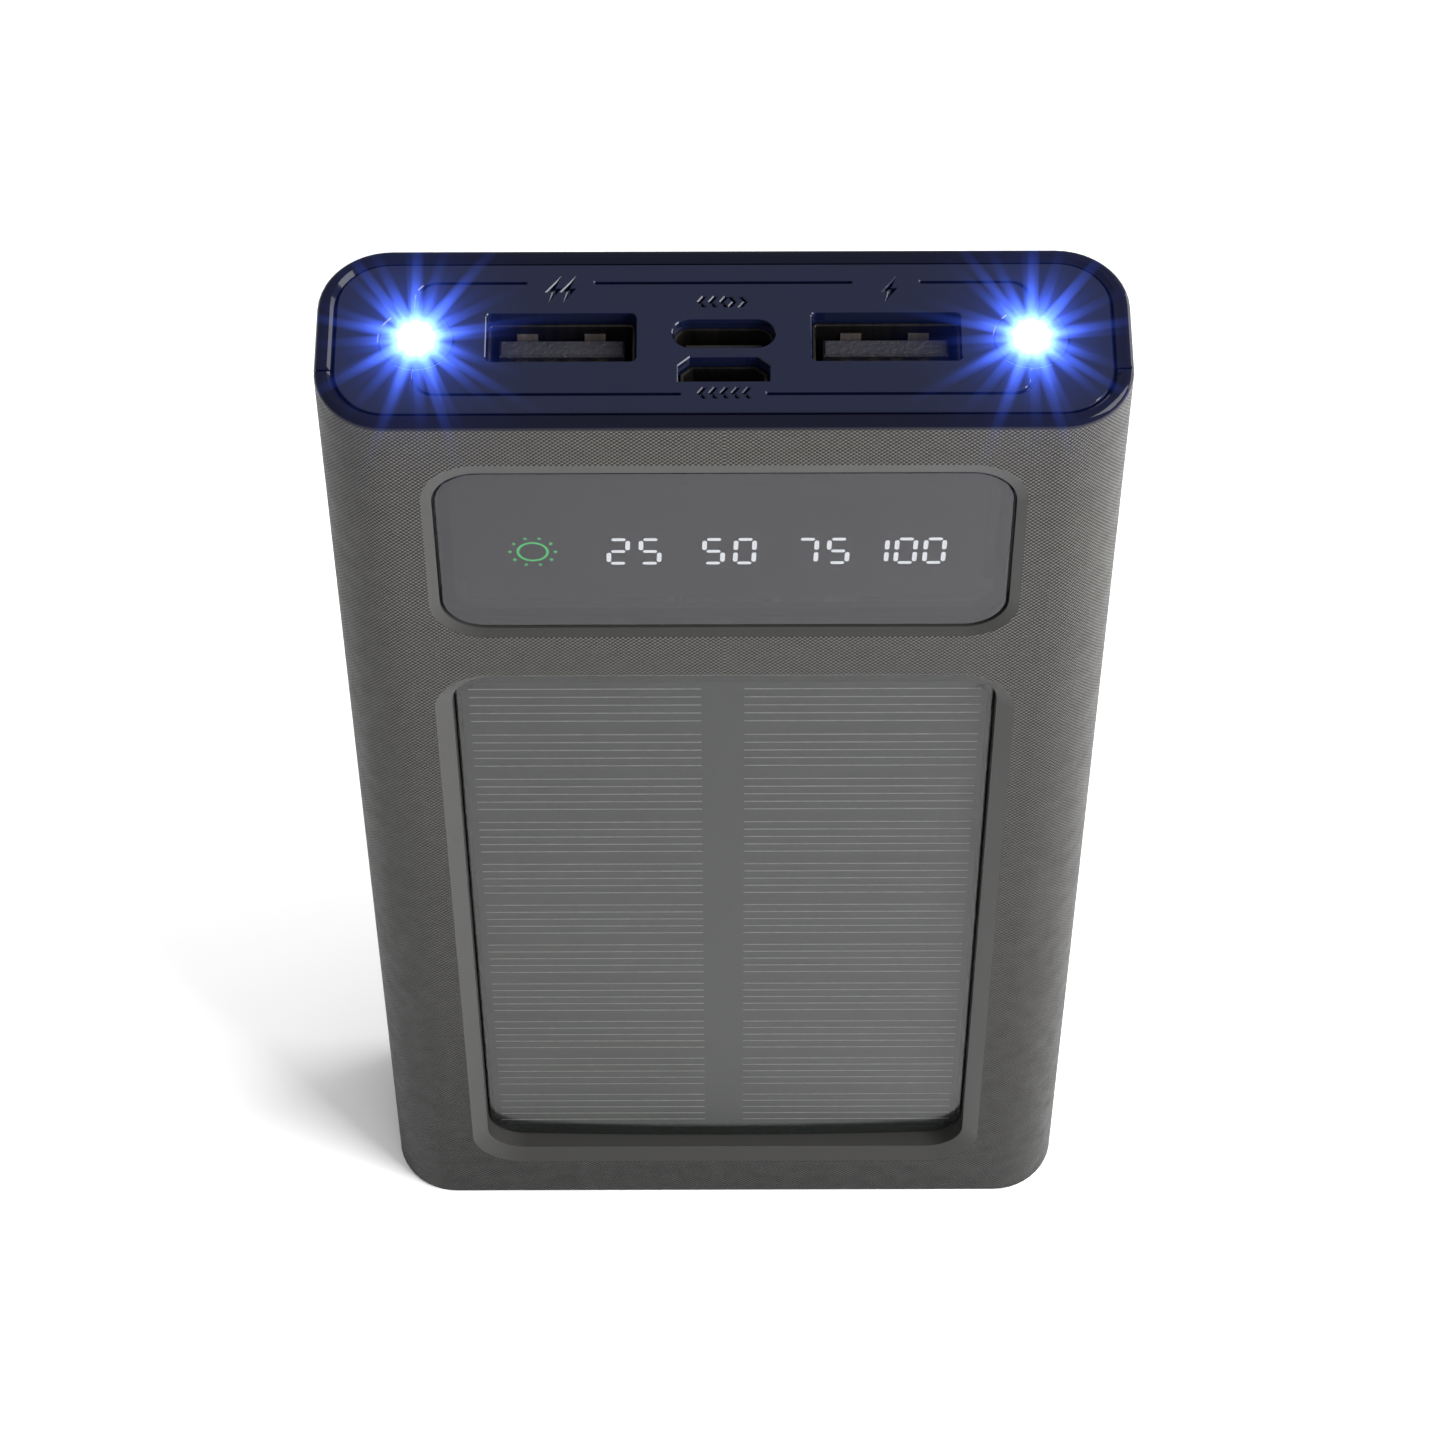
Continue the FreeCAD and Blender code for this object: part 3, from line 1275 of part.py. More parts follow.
def front_cell_y():
    """Front face of the front cell."""
    return rear_cell_y() - CELL_TAPE - CELL_SIZE[1]


def cell_tape():
    """Double-sided tape between the two cells."""
    width, height = CELL_SIZE[0], CELL_SIZE[2]
    y0 = rear_cell_y() - CELL_TAPE
    half_x = width / 2 - CELL_TAPE_INSET
    z0 = CELL_BASE_Z + CELL_TAPE_INSET
    z1 = CELL_BASE_Z + height - CELL_TAPE_INSET
    return box(-half_x, half_x, y0, rear_cell_y(), z0, z1)


def foam_pad():
    """Foam pad between the rear cell and the rear wall."""
    width, thickness, height = FOAM
    z0 = CELL_BASE_Z + (CELL_SIZE[2] - height) / 2
    return box(-width / 2, width / 2, INNER_REAR_Y - thickness, INNER_REAR_Y, z0, z0 + height)


def cell_tabs():
    """Nickel tabs standing on top of both cells."""
    width, thickness, height = TAB_SIZE
    z0 = CELL_BASE_Z + CELL_SIZE[2]
    tabs = []
    for y_front in (front_cell_y(), rear_cell_y()):
        y = y_front + CELL_SIZE[1] / 2
        for x in (-TAB_X, TAB_X):
            tabs.append(centred_box((x, y, z0 + height / 2), (width, thickness, height)))
    return tabs


def battery_lead(side):
    """Thick lead from a tab of the rear cell up to the rear of the main board."""
    tab_y = rear_cell_y() + CELL_SIZE[1] / 2 - TAB_SIZE[1] / 2 - BATTERY_LEAD_RADIUS
    run_y = BOARD_REAR_Y + BATTERY_LEAD_RADIUS
    z0 = CELL_BASE_Z + CELL_SIZE[2] + BATTERY_LEAD_START
    x = side * TAB_X
    points = [
        (x, tab_y, z0),
        (x, tab_y, z0 + BATTERY_LEAD_RISE),
        (x, run_y, z0 + BATTERY_LEAD_RISE + BATTERY_LEAD_JOG),
        (x, run_y, SOLDER_Z + BATTERY_LEAD_OVERLAP),
    ]
    return lead(points, BATTERY_LEAD_RADIUS, BATTERY_LEAD_BEND)


def insulation_sheet():
    """Insulating card between the cells and the main board, with lead notches."""
    front = BOARD_REAR_Y - INSULATION_FRONT_GAP
    rear = INNER_REAR_Y - INSULATION_REAR_GAP
    top = INSULATION_Z + INSULATION_THICKNESS
    sheet = box(-INSULATION_X, INSULATION_X, front, rear, INSULATION_Z, top)
    for x in (-TAB_X, TAB_X):
        notch_rear = INNER_REAR_Y - INSULATION_NOTCH_REAR_GAP
        notch = box(x - INSULATION_NOTCH, x + INSULATION_NOTCH, front - 1, notch_rear, INSULATION_Z, top)
        sheet = sheet.cut(notch)
    half_slot = SOLAR_LEAD_X + INSULATION_SLOT_MARGIN
    slot_rear = BOARD_FRONT_Y + INSULATION_REAR_GAP
    return sheet.cut(box(-half_slot, half_slot, front - 1, slot_rear, INSULATION_Z, top))


def main_board():
    """Upright circuit board notched around the type A sockets."""
    y0 = BOARD_FRONT_Y
    y1 = BOARD_REAR_Y
    lower = box(-BOARD_X, BOARD_X, y0, y1, BOARD_BASE_Z, BOARD_SHOULDER_Z)
    neck = box(-BOARD_NECK_X, BOARD_NECK_X, y0, y1, BOARD_SHOULDER_Z, BOARD_NECK_Z)
    wing_x = USB_A_X + USB_A_OUTER[0] / 2 + BOARD_SLOT_MARGIN
    wing = box(wing_x, BOARD_X, y0, y1, BOARD_SHOULDER_Z, BOARD_WING_Z)
    board = fuse_all([lower, neck, wing, mirror_x(wing)])
    for side in (-1, 1):
        board = board.cut(rod_y(SCREW_RADIUS + BOARD_HOLE_GAP, side * SCREW_X, SCREW_Z, y0, y1))
    return board


def board_screws():
    """Two screws that hold the board to its bosses."""
    screws = []
    for side in (-1, 1):
        x = side * SCREW_X
        head = rod_y(SCREW_HEAD_RADIUS, x, SCREW_Z, BOARD_FRONT_Y - SCREW_HEAD_HEIGHT, BOARD_FRONT_Y)
        crown = edges_where(head, lambda b: b.YMax < BOARD_FRONT_Y - SCREW_HEAD_HEIGHT / 2)
        head = head.makeFillet(SCREW_HEAD_FILLET, crown)
        shank = rod_y(SCREW_RADIUS, x, SCREW_Z, BOARD_FRONT_Y, BOARD_FRONT_Y + SCREW_LENGTH)
        length, depth, width = SCREW_SLOT
        slot_y = BOARD_FRONT_Y - SCREW_HEAD_HEIGHT + depth / 2
        across = centred_box((x, slot_y, SCREW_Z), (length, depth, width))
        upright = centred_box((x, slot_y, SCREW_Z), (width, depth, length))
        screws.append(cut_all(fuse_all([head, shank]), [across, upright]))
    return screws


def rear_mounted(x, z, size):
    """Block on the rear face of the main board."""
    return centred_box((x, BOARD_REAR_Y + size[1] / 2, z), size)


def power_inductors():
    """Two shielded inductors."""
    parts = []
    for x in INDUCTORS_X:
        block = rear_mounted(x, INDUCTOR_Z, INDUCTOR_SIZE)
        upright = edges_where(block, lambda b: b.YLength > INDUCTOR_SIZE[1] / 2)
        parts.append(block.makeFillet(INDUCTOR_CORNER, upright))
    return parts


def controller_chips():
    """Charge controller and two smaller chips."""
    return [rear_mounted(x, z, size) for x, z, size in CHIPS]


def ceramic_capacitors():
    """Rows of ceramic capacitors below the sockets."""
    parts = []
    for start_x in CAPACITOR_ROWS_X:
        for index in range(CAPACITORS_IN_ROW):
            parts.append(rear_mounted(start_x + index * CAPACITOR_PITCH, CAPACITOR_Z, CAPACITOR_SIZE))
    return parts


def chip_resistors():
    """Columns of small resistors beside the inductor and the chips."""
    parts = []
    for x in RESISTOR_COLUMNS_X:
        for index in range(RESISTORS_IN_COLUMN):
            parts.append(rear_mounted(x, RESISTOR_BASE_Z + index * RESISTOR_PITCH, RESISTOR_SIZE))
    return parts


def power_button():
    """Side button with an inner flange that keeps it in the wall."""
    width, height = BUTTON_SIZE
    flange_x = INNER_X - BUTTON_TO_WALL
    cap = button_block(width, height, flange_x, HALF_WIDTH + BUTTON_PROUD)
    outer = edges_where(cap, lambda b: b.XMin > HALF_WIDTH + BUTTON_PROUD - 0.01)
    cap = cap.makeFillet(BUTTON_FILLET, outer)
    margin = 2 * BUTTON_FLANGE_MARGIN
    flange = button_block(width + margin, height + margin, flange_x - BUTTON_FLANGE, flange_x)
    return fuse_all([cap, flange])


def plunger_tip_x():
    """Outer end of the switch plunger."""
    return INNER_X - BUTTON_TO_WALL - BUTTON_FLANGE - BUTTON_TO_PLUNGER


def switch_body():
    """Side-acting switch on the rear face of the board, hollow for its plunger."""
    x1 = plunger_tip_x() - PLUNGER_SHOW
    x0 = x1 - SWITCH_SIZE[0]
    y0 = BOARD_REAR_Y
    half_z = SWITCH_SIZE[2] / 2
    body = box(x0, x1, y0, y0 + SWITCH_SIZE[1], BUTTON_Z - half_z, BUTTON_Z + half_z)
    half = PLUNGER_SIDE / 2 + PLUNGER_GAP
    well = box(
        x1 - 2 * PLUNGER_INSIDE - PLUNGER_GAP,
        x1,
        BUTTON_Y - half,
        BUTTON_Y + half,
        BUTTON_Z - half,
        BUTTON_Z + half,
    )
    return body.cut(well)


def switch_plunger():
    """Plunger that the button pushes into the switch."""
    tip = plunger_tip_x()
    length = PLUNGER_SHOW + PLUNGER_INSIDE
    return centred_box((tip - length / 2, BUTTON_Y, BUTTON_Z), (length, PLUNGER_SIDE, PLUNGER_SIDE))


def all_nodes():
    """Every piece by name; lists are identical or grouped pieces."""
    blank = cut_all(case_blank(), parting_notch())
    numeral_bars = numerals()
    sun_parts = sun_icon()
    lens = torch_lens()
    lamp = torch_led()
    a_shell = usb_a_shell()
    a_tongue = usb_a_tongue()
    a_contacts = usb_a_contacts()
    across = Vector(2 * USB_A_X, 0, 0)
    return {
        "front_cover": front_cover(blank),
        "rear_cover": rear_cover(blank),
        "port_panel": port_panel(),
        "power_button": power_button(),
        "display_window": window_glass(),
        "display_adhesive": window_adhesive(),
        "display_housing": display_housing(numeral_bars + sun_parts),
        "display_numerals": numeral_bars,
        "display_sun": sun_parts,
        "display_board": display_board(),
        "display_pins": header_pins(),
        "solar_adhesive": solar_adhesive(),
        "solar_substrate": solar_substrate(),
        "solar_cells": solar_cells(),
        "solar_resin": solar_resin(),
        "solar_lead_red": solar_leads(-SOLAR_LEAD_X),
        "solar_lead_black": solar_leads(SOLAR_LEAD_X),
        "torch_lens_left": lens,
        "torch_lens_right": mirror_x(lens),
        "torch_led_left": lamp,
        "torch_led_right": mirror_x(lamp),
        "torch_led_leads": torch_leads(),
        "usb_a_left_shell": a_shell,
        "usb_a_left_tongue": a_tongue,
        "usb_a_left_contacts": a_contacts,
        "usb_a_right_shell": a_shell.translated(across),
        "usb_a_right_tongue": a_tongue.translated(across),
        "usb_a_right_contacts": [strip.translated(across) for strip in a_contacts],
        "usb_c_shell": usb_c_shell(),
        "usb_c_tongue": usb_c_tongue(),
        "usb_c_contacts": usb_c_contacts(),
        "micro_usb_shell": micro_shell(),
        "micro_usb_tongue": micro_tongue(),
        "micro_usb_contacts": micro_contacts(),
        "main_board": main_board(),
        "board_screws": board_screws(),
        "power_inductors": power_inductors(),
        "controller_chips": controller_chips(),
        "ceramic_capacitors": ceramic_capacitors(),
        "chip_resistors": chip_resistors(),
        "switch_body": switch_body(),
        "switch_plunger": switch_plunger(),
        "battery_cell_front": cell(front_cell_y()),
        "battery_cell_rear": cell(rear_cell_y()),
        "cell_tape": cell_tape(),
        "cell_tabs": cell_tabs(),
        "foam_pad": foam_pad(),
        "insulation_sheet": insulation_sheet(),
        "battery_lead_red": battery_lead(-1),
        "battery_lead_black": battery_lead(1),
    }


def write_nodes():
    """Write every node as one STEP file."""
    os.makedirs("parts", exist_ok=True)
    for name, shape in all_nodes().items():
        if isinstance(shape, list):
            shape = Part.makeCompound(shape)
        shape.exportStep(os.path.join("parts", name + ".step"))


write_nodes()
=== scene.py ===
import math

import bmesh
import bpy
from mathutils import Matrix, Vector


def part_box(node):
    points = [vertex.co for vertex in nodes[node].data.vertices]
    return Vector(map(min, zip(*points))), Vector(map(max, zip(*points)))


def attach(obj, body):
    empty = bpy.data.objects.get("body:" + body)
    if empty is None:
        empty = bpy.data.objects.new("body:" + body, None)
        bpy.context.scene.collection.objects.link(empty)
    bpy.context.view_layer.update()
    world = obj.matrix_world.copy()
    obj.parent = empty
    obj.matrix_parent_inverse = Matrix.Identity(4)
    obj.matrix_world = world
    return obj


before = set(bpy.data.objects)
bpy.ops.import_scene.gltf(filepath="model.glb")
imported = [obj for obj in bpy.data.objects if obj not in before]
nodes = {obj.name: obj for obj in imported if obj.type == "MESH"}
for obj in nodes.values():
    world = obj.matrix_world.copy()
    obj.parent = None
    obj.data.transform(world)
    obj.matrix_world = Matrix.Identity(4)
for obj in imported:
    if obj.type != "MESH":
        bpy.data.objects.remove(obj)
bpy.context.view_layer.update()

MM = 0.001

# The camera stands in front of and above the charger and looks down at it.
CAMERA_PLACE = (-0.00043, -0.2669, 0.4668)
CAMERA_PITCH = math.radians(90 - 55.57)
CAMERA_ROLL = math.radians(-0.16)
CAMERA_LENS = 120.1
CAMERA_NEAR = 0.01
SENSOR = 36.0

# Light
SKY_STRENGTH = 0.42
FLOOR_SIZE = 6.0
FLOOR_SHADES = ((0.92, 0.92, 0.92), (0.93, 0.93, 0.93))

# Case finish, in millimetres
HALF_WIDTH = 36.0
FRONT_Y = -10.0
FACE_SKIN = 0.012
RIM_BASE_Z = 136.6
RIM_TOOTH = 0.09
SMOOTH_ZONE_X = 28.4
SMOOTH_ZONE_TOP = 133.0
# The case colour is painted darker from this height down to the bottom, as shade.
SHADE_TOP_Z = 115.0
WEAVE_PERIOD = 0.49
WEAVE_RELIEF = 0.12

# Case colours
THREAD_PALE = (0.094, 0.0895, 0.0825)
# Colour at the bottom of the case: painted shade.
THREAD_MIDDLE = (0.076, 0.0725, 0.0665)
THREAD_PAINTED_BOTTOM_SHADE = (0.006, 0.0056, 0.0045)
# Painted shade in the gaps between the threads of the weave.
GAP_PAINTED_SHADE = (0.003, 0.0028, 0.0025)
# Near-black plastic tinted blue: the blue is a painted glow of the torches on the rim and the port
# panel.
RIM_BLACK_PAINTED_BLUE_GLOW = (0.0025, 0.003, 0.009)
RECESS_GREY = (0.03, 0.0295, 0.0285)
PANEL_BLACK_PAINTED_BLUE_GLOW = (0.003, 0.005, 0.019)
DISPLAY_BLACK = (0.01, 0.009, 0.013)

# Solar cell print, in millimetres
PRINT_ROWS = 11
PRINT_ROW_PITCH = 7.67
PRINT_LOWEST_Z = 13.25
PRINT_LINES = 5
PRINT_LINE_PITCH = 1.34
PRINT_LINE_HEIGHT = 0.16
PRINT_LINE_THICKNESS = 0.02
PRINT_SPANS = ((-24.3, -2.2), (1.9, 24.4))
FILM_THICKNESS = 0.02
FILM_MARGIN = 0.4
FILM_CORNER = 1.2
CRYSTAL_SIZE = 3.2

# Spring leaves of the type A sockets, in millimetres
SPRING_X = 14.35
SPRING_OFFSET = 3.0
SPRING_HALF_WIDTH = 1.0
SPRING_WALL_Y = 2.46

# Torch lamps, in millimetres; the power is the strength of the emission
TORCH_X = 27.1
TORCH_Y = -0.17
TORCH_CORE = 1.3
TORCH_SPOT = 0.6
TORCH_LENS = 3.0
TORCH_RIPPLE = 0.5
TORCH_POWER = 900.0

# Camera flare of the torches
FLARE_THRESHOLD = 60.0
FLARE_TINT = (0.08, 0.16, 1.0, 1.0)
FLARE_RAYS = (
    dict(Streaks=16, Streaks_Angle=0.06, Iterations=4, Fade=0.93, Strength=0.05),
    dict(Streaks=14, Streaks_Angle=0.2, Iterations=4, Fade=0.91, Strength=0.05),
    dict(Streaks=9, Streaks_Angle=0.5, Iterations=4, Fade=0.95, Strength=0.03),
)


class Graph:
    """Short names for the shader nodes of one material."""

    def __init__(self, name):
        self.material = bpy.data.materials.new(name)
        self.material.use_nodes = True
        self.tree = self.material.node_tree
        self.shader = self.tree.nodes["Principled BSDF"]
        self.place = self.add("ShaderNodeTexCoord").outputs["Object"]

    def add(self, kind, **settings):
        node = self.tree.nodes.new(kind)
        for key, value in settings.items():
            setattr(node, key, value)
        return node

    def feed(self, socket, value):
        """Link a socket, or set its value."""
        if isinstance(value, bpy.types.NodeSocket):
            self.tree.links.new(value, socket)
        else:
            socket.default_value = value

    def math(self, operation, *values, clamp=False):
        node = self.add("ShaderNodeMath", operation=operation, use_clamp=clamp)
        for socket, value in zip(node.inputs, values):
            self.feed(socket, value)
        return node.outputs[0]

    def millimetres(self):
        """Position split into X, Y and Z in millimetres."""
        scaled = self.add("ShaderNodeVectorMath", operation="SCALE")
        self.feed(scaled.inputs[0], self.place)
        scaled.inputs["Scale"].default_value = 1 / MM
        split = self.add("ShaderNodeSeparateXYZ")
        self.feed(split.inputs[0], scaled.outputs[0])
        return split.outputs[0], split.outputs[1], split.outputs[2]

    def stretched(self, scale):
        """Position scaled by a different amount on each axis."""
        node = self.add("ShaderNodeVectorMath", operation="MULTIPLY")
        self.feed(node.inputs[0], self.place)
        node.inputs[1].default_value = scale
        return node.outputs[0]

    def noise(self, size, detail=3.0, place=None):
        """Noise whose blobs are about size millimetres across."""
        node = self.add("ShaderNodeTexNoise")
        self.feed(node.inputs["Vector"], place or self.place)
        node.inputs["Scale"].default_value = 1 / (size * MM)
        node.inputs["Detail"].default_value = detail
        return node.outputs["Fac"]

    def remap(self, value, low, high, out_low, out_high):
        node = self.add("ShaderNodeMapRange")
        for socket, number in zip(node.inputs, (value, low, high, out_low, out_high)):
            self.feed(socket, number)
        return node.outputs[0]

    def blend(self, factor, first, second):
        """Colour between two colours."""
        node = self.add("ShaderNodeMix", data_type="RGBA")
        self.feed(node.inputs["Factor"], factor)
        self.feed(node.inputs["A"], first)
        self.feed(node.inputs["B"], second)
        return node.outputs["Result"]

    def bump(self, height, relief):
        """Normal from a height of 0 to 1 that stands for relief millimetres."""
        node = self.add("ShaderNodeBump")
        node.inputs["Distance"].default_value = relief * MM
        self.feed(node.inputs["Height"], height)
        return node.outputs["Normal"]

    def set(self, **values):
        """Set or link sockets of the main shader; underscores stand for spaces."""
        for key, value in values.items():
            self.feed(self.shader.inputs[key.replace("_", " ")], value)


def rgba(red, green, blue):
    return (red, green, blue, 1.0)


def shade(color, factor):
    return tuple(channel * factor for channel in color[:3]) + (1.0,)


def moulded(name, color, roughness, grain=0.25, relief=0.004, spread=0.12, gloss_spread=0.06):
    """Moulded plastic: faint colour drift, a fine grain and uneven gloss."""
    g = Graph(name)
    drift = g.noise(9.0)
    g.set(
        Base_Color=g.blend(drift, shade(color, 1 - spread), shade(color, 1 + spread)),
        Roughness=g.remap(g.noise(3.0), 0.3, 0.7, roughness - gloss_spread, roughness + gloss_spread),
        Normal=g.bump(g.noise(grain, 4.0), relief),
    )
    return g.material


def metal(name, color, roughness, stretch=(40.0, 40.0, 900.0), relief=0.004):
    """Rolled or drawn metal: fine lines along one axis and uneven polish."""
    g = Graph(name)
    lines = g.add("ShaderNodeTexNoise")
    g.feed(lines.inputs["Vector"], g.stretched(stretch))
    lines.inputs["Scale"].default_value = 3.0
    lines.inputs["Detail"].default_value = 4.0
    streaks = lines.outputs["Fac"]
    g.shader.inputs["Metallic"].default_value = 1.0
    g.set(
        Base_Color=g.blend(streaks, shade(color, 0.82), shade(color, 1.1)),
        Roughness=g.remap(streaks, 0.3, 0.7, roughness * 0.75, roughness * 1.3),
        Normal=g.bump(streaks, relief),
    )
    return g.material


def socket_steel(name):
    """Socket steel in two copies: near black on the walls as painted shade, and light on the spring
    leaves of the type A sockets as a painted highlight.
    """
    g = Graph(name)
    x, y, _ = g.millimetres()
    across = g.math("SUBTRACT", g.math("ABSOLUTE", x), SPRING_X)
    leaf = g.math("ABSOLUTE", g.math("SUBTRACT", g.math("ABSOLUTE", across), SPRING_OFFSET))
    on_leaf = g.math("LESS_THAN", leaf, SPRING_HALF_WIDTH)
    off_wall = g.math("LESS_THAN", g.math("ABSOLUTE", y), SPRING_WALL_Y)
    painted_highlight_mask = g.math("MULTIPLY", on_leaf, off_wall)
    brushed = g.add("ShaderNodeTexNoise")
    g.feed(brushed.inputs["Vector"], g.stretched((900.0, 900.0, 90.0)))
    brushed.inputs["Scale"].default_value = 2.0
    streaks = brushed.outputs["Fac"]
    # Painted shade: the socket walls are the steel darkened to near black; painted highlight: the
    # spring leaves are the same steel made light.
    steel_painted_shade = g.blend(streaks, rgba(0.02, 0.018, 0.017), rgba(0.05, 0.045, 0.042))
    steel_painted_highlight = g.blend(streaks, rgba(0.3, 0.26, 0.24), rgba(0.6, 0.53, 0.48))
    g.shader.inputs["Metallic"].default_value = 0.9
    g.set(
        Base_Color=g.blend(painted_highlight_mask, steel_painted_shade, steel_painted_highlight),
        Roughness=g.remap(streaks, 0.3, 0.7, 0.3, 0.5),
        Normal=g.bump(streaks, 0.004),
    )
    return g.material


def woven_shell(name):
    """Case plastic: moulded weave with painted shade in its gaps and painted darker towards the bottom
    as shade, polished rim with a painted blue glow, smooth recess edges.
    """
    g = Graph(name)
    x, y, z = g.millimetres()
    side = g.math("ABSOLUTE", x)
    # Threads cross at right angles; one set is counted around the case, the other up it.
    around = g.math("MULTIPLY_ADD", g.math("SUBTRACT", HALF_WIDTH, side), g.math("SIGN", y), y)
    turn = 2 * math.pi / WEAVE_PERIOD
    across = g.math("SINE", g.math("MULTIPLY", around, turn))
    up = g.math("SINE", g.math("MULTIPLY", z, turn))
    lattice = g.math("MULTIPLY", across, up)
    height = g.remap(lattice, -0.3, 0.5, 0.0, 1.0)
    edge = g.math("MULTIPLY_ADD", lattice, RIM_TOOTH, z)
    below_rim = g.math("LESS_THAN", edge, RIM_BASE_Z)
    # The recess edges lie behind the front face and inside the smooth zone.
    off_face = g.math("GREATER_THAN", y, FRONT_Y + FACE_SKIN)
    inside = g.math("MULTIPLY", off_face, g.math("LESS_THAN", side, SMOOTH_ZONE_X))
    in_front = g.math("LESS_THAN", y, FRONT_Y / 2)
    below_top = g.math("LESS_THAN", z, SMOOTH_ZONE_TOP)
    recess = g.math("MULTIPLY", g.math("MULTIPLY", inside, in_front), below_top)
    woven = g.math("MULTIPLY", below_rim, g.math("SUBTRACT", 1.0, recess))
    drift = g.noise(14.0)
    # Painted shade: the thread colour darkens from SHADE_TOP_Z down to the bottom of the case.
    painted_shade_lift = g.remap(z, 0.0, SHADE_TOP_Z, 0.0, 1.0)
    upper = g.blend(drift, rgba(*THREAD_MIDDLE), rgba(*THREAD_PALE))
    thread = g.blend(painted_shade_lift, rgba(*THREAD_PAINTED_BOTTOM_SHADE), upper)
    # Painted shade: the gaps between the threads are painted near black.
    weave = g.blend(height, rgba(*GAP_PAINTED_SHADE), thread)
    # The rim colour carries a painted blue glow of the torches.
    smooth = g.blend(recess, rgba(*RIM_BLACK_PAINTED_BLUE_GLOW), rgba(*RECESS_GREY))
    rough_weave = g.remap(g.noise(2.0), 0.3, 0.7, 0.40, 0.5)
    rough_smooth = g.remap(recess, 0.0, 1.0, 0.07, 0.4)
    mixed = g.add("ShaderNodeMix", data_type="FLOAT")
    g.feed(mixed.inputs["Factor"], woven)
    g.feed(mixed.inputs["A"], rough_smooth)
    g.feed(mixed.inputs["B"], rough_weave)
    g.set(
        Base_Color=g.blend(woven, smooth, weave),
        Roughness=mixed.outputs["Result"],
        Normal=g.bump(g.math("MULTIPLY", height, woven), WEAVE_RELIEF),
    )
    g.shader.inputs["Specular IOR Level"].default_value = 0.2
    return g.material


def polished_black(name, color, roughness):
    """Polished black plastic with faint waviness and fine wear."""
    g = Graph(name)
    scuff = g.noise(0.9, 6.0)
    g.set(
        Base_Color=g.blend(g.noise(6.0), shade(color, 0.85), shade(color, 1.2)),
        Roughness=g.remap(scuff, 0.35, 0.75, roughness, roughness + 0.07),
        Normal=g.bump(g.noise(7.0, 1.0), 0.006),
    )
    return g.material


def smoked_window(name, color, alpha, roughness):
    """Glossy tinted sheet that shows what is behind it."""
    g = Graph(name)
    g.shader.inputs["Alpha"].default_value = alpha
    g.shader.inputs["IOR"].default_value = 1.5
    g.set(
        Base_Color=g.blend(g.noise(18.0), shade(color, 0.9), shade(color, 1.1)),
        Roughness=g.remap(g.noise(5.0), 0.3, 0.7, roughness, roughness + 0.03),
    )
    return g.material


def lit(name, color, strength):
    """Light guide that glows, a little unevenly."""
    g = Graph(name)
    patch = g.noise(0.6, 2.0)
    g.shader.inputs["Emission Strength"].default_value = strength
    g.set(
        Base_Color=g.blend(patch, shade(color, 0.9), shade(color, 1.0)),
        Emission_Color=g.blend(patch, shade(color, 0.85), shade(color, 1.0)),
        Roughness=0.3,
    )
    return g.material


def silicon(name):
    """Dark solar cell with a faint crystal pattern."""
    g = Graph(name)
    crystals = g.add("ShaderNodeTexVoronoi")
    g.feed(crystals.inputs["Vector"], g.place)
    crystals.inputs["Scale"].default_value = 1 / (CRYSTAL_SIZE * MM)
    flake = g.add("ShaderNodeSeparateColor")
    g.feed(flake.inputs[0], crystals.outputs["Color"])
    g.set(
        Base_Color=g.blend(
            flake.outputs[0], rgba(0.011, 0.0135, 0.012), rgba(0.014, 0.017, 0.0155)
        ),
        Roughness=g.remap(flake.outputs[1], 0.0, 1.0, 0.28, 0.36),
        Normal=g.bump(g.noise(0.4), 0.003),
    )
    return g.material


def circuit(name):
    """Solder mask over faint tracks."""
    g = Graph(name)
    x, _, z = g.millimetres()
    comb = g.math("SINE", g.math("MULTIPLY", x, 5.2))
    rows = g.math("SINE", g.math("MULTIPLY", z, 3.9))
    tracks = g.remap(g.math("MAXIMUM", comb, rows), 0.78, 0.84, 0.0, 1.0)
    g.set(
        Base_Color=g.blend(tracks, rgba(0.012, 0.085, 0.04), rgba(0.02, 0.14, 0.06)),
        Roughness=g.remap(g.noise(1.5), 0.3, 0.7, 0.25, 0.4),
        Normal=g.bump(tracks, 0.02),
    )
    return g.material


def foil(name):
    """Crinkled aluminium laminate."""
    g = Graph(name)
    crinkle = g.noise(5.0, 6.0)
    g.shader.inputs["Metallic"].default_value = 0.85
    g.set(
        Base_Color=g.blend(crinkle, rgba(0.55, 0.56, 0.58), rgba(0.74, 0.75, 0.77)),
        Roughness=g.remap(crinkle, 0.3, 0.7, 0.28, 0.45),
        Normal=g.bump(crinkle, 0.12),
    )
    return g.material


def foam(name, color):
    """Open foam or tape with small pores."""
    g = Graph(name)
    pores = g.add("ShaderNodeTexVoronoi")
    g.feed(pores.inputs["Vector"], g.place)
    pores.inputs["Scale"].default_value = 1 / (0.5 * MM)
    g.set(
        Base_Color=g.blend(pores.outputs["Distance"], shade(color, 0.7), shade(color, 1.15)),
        Roughness=0.9,
        Normal=g.bump(pores.outputs["Distance"], 0.08),
    )
    return g.material


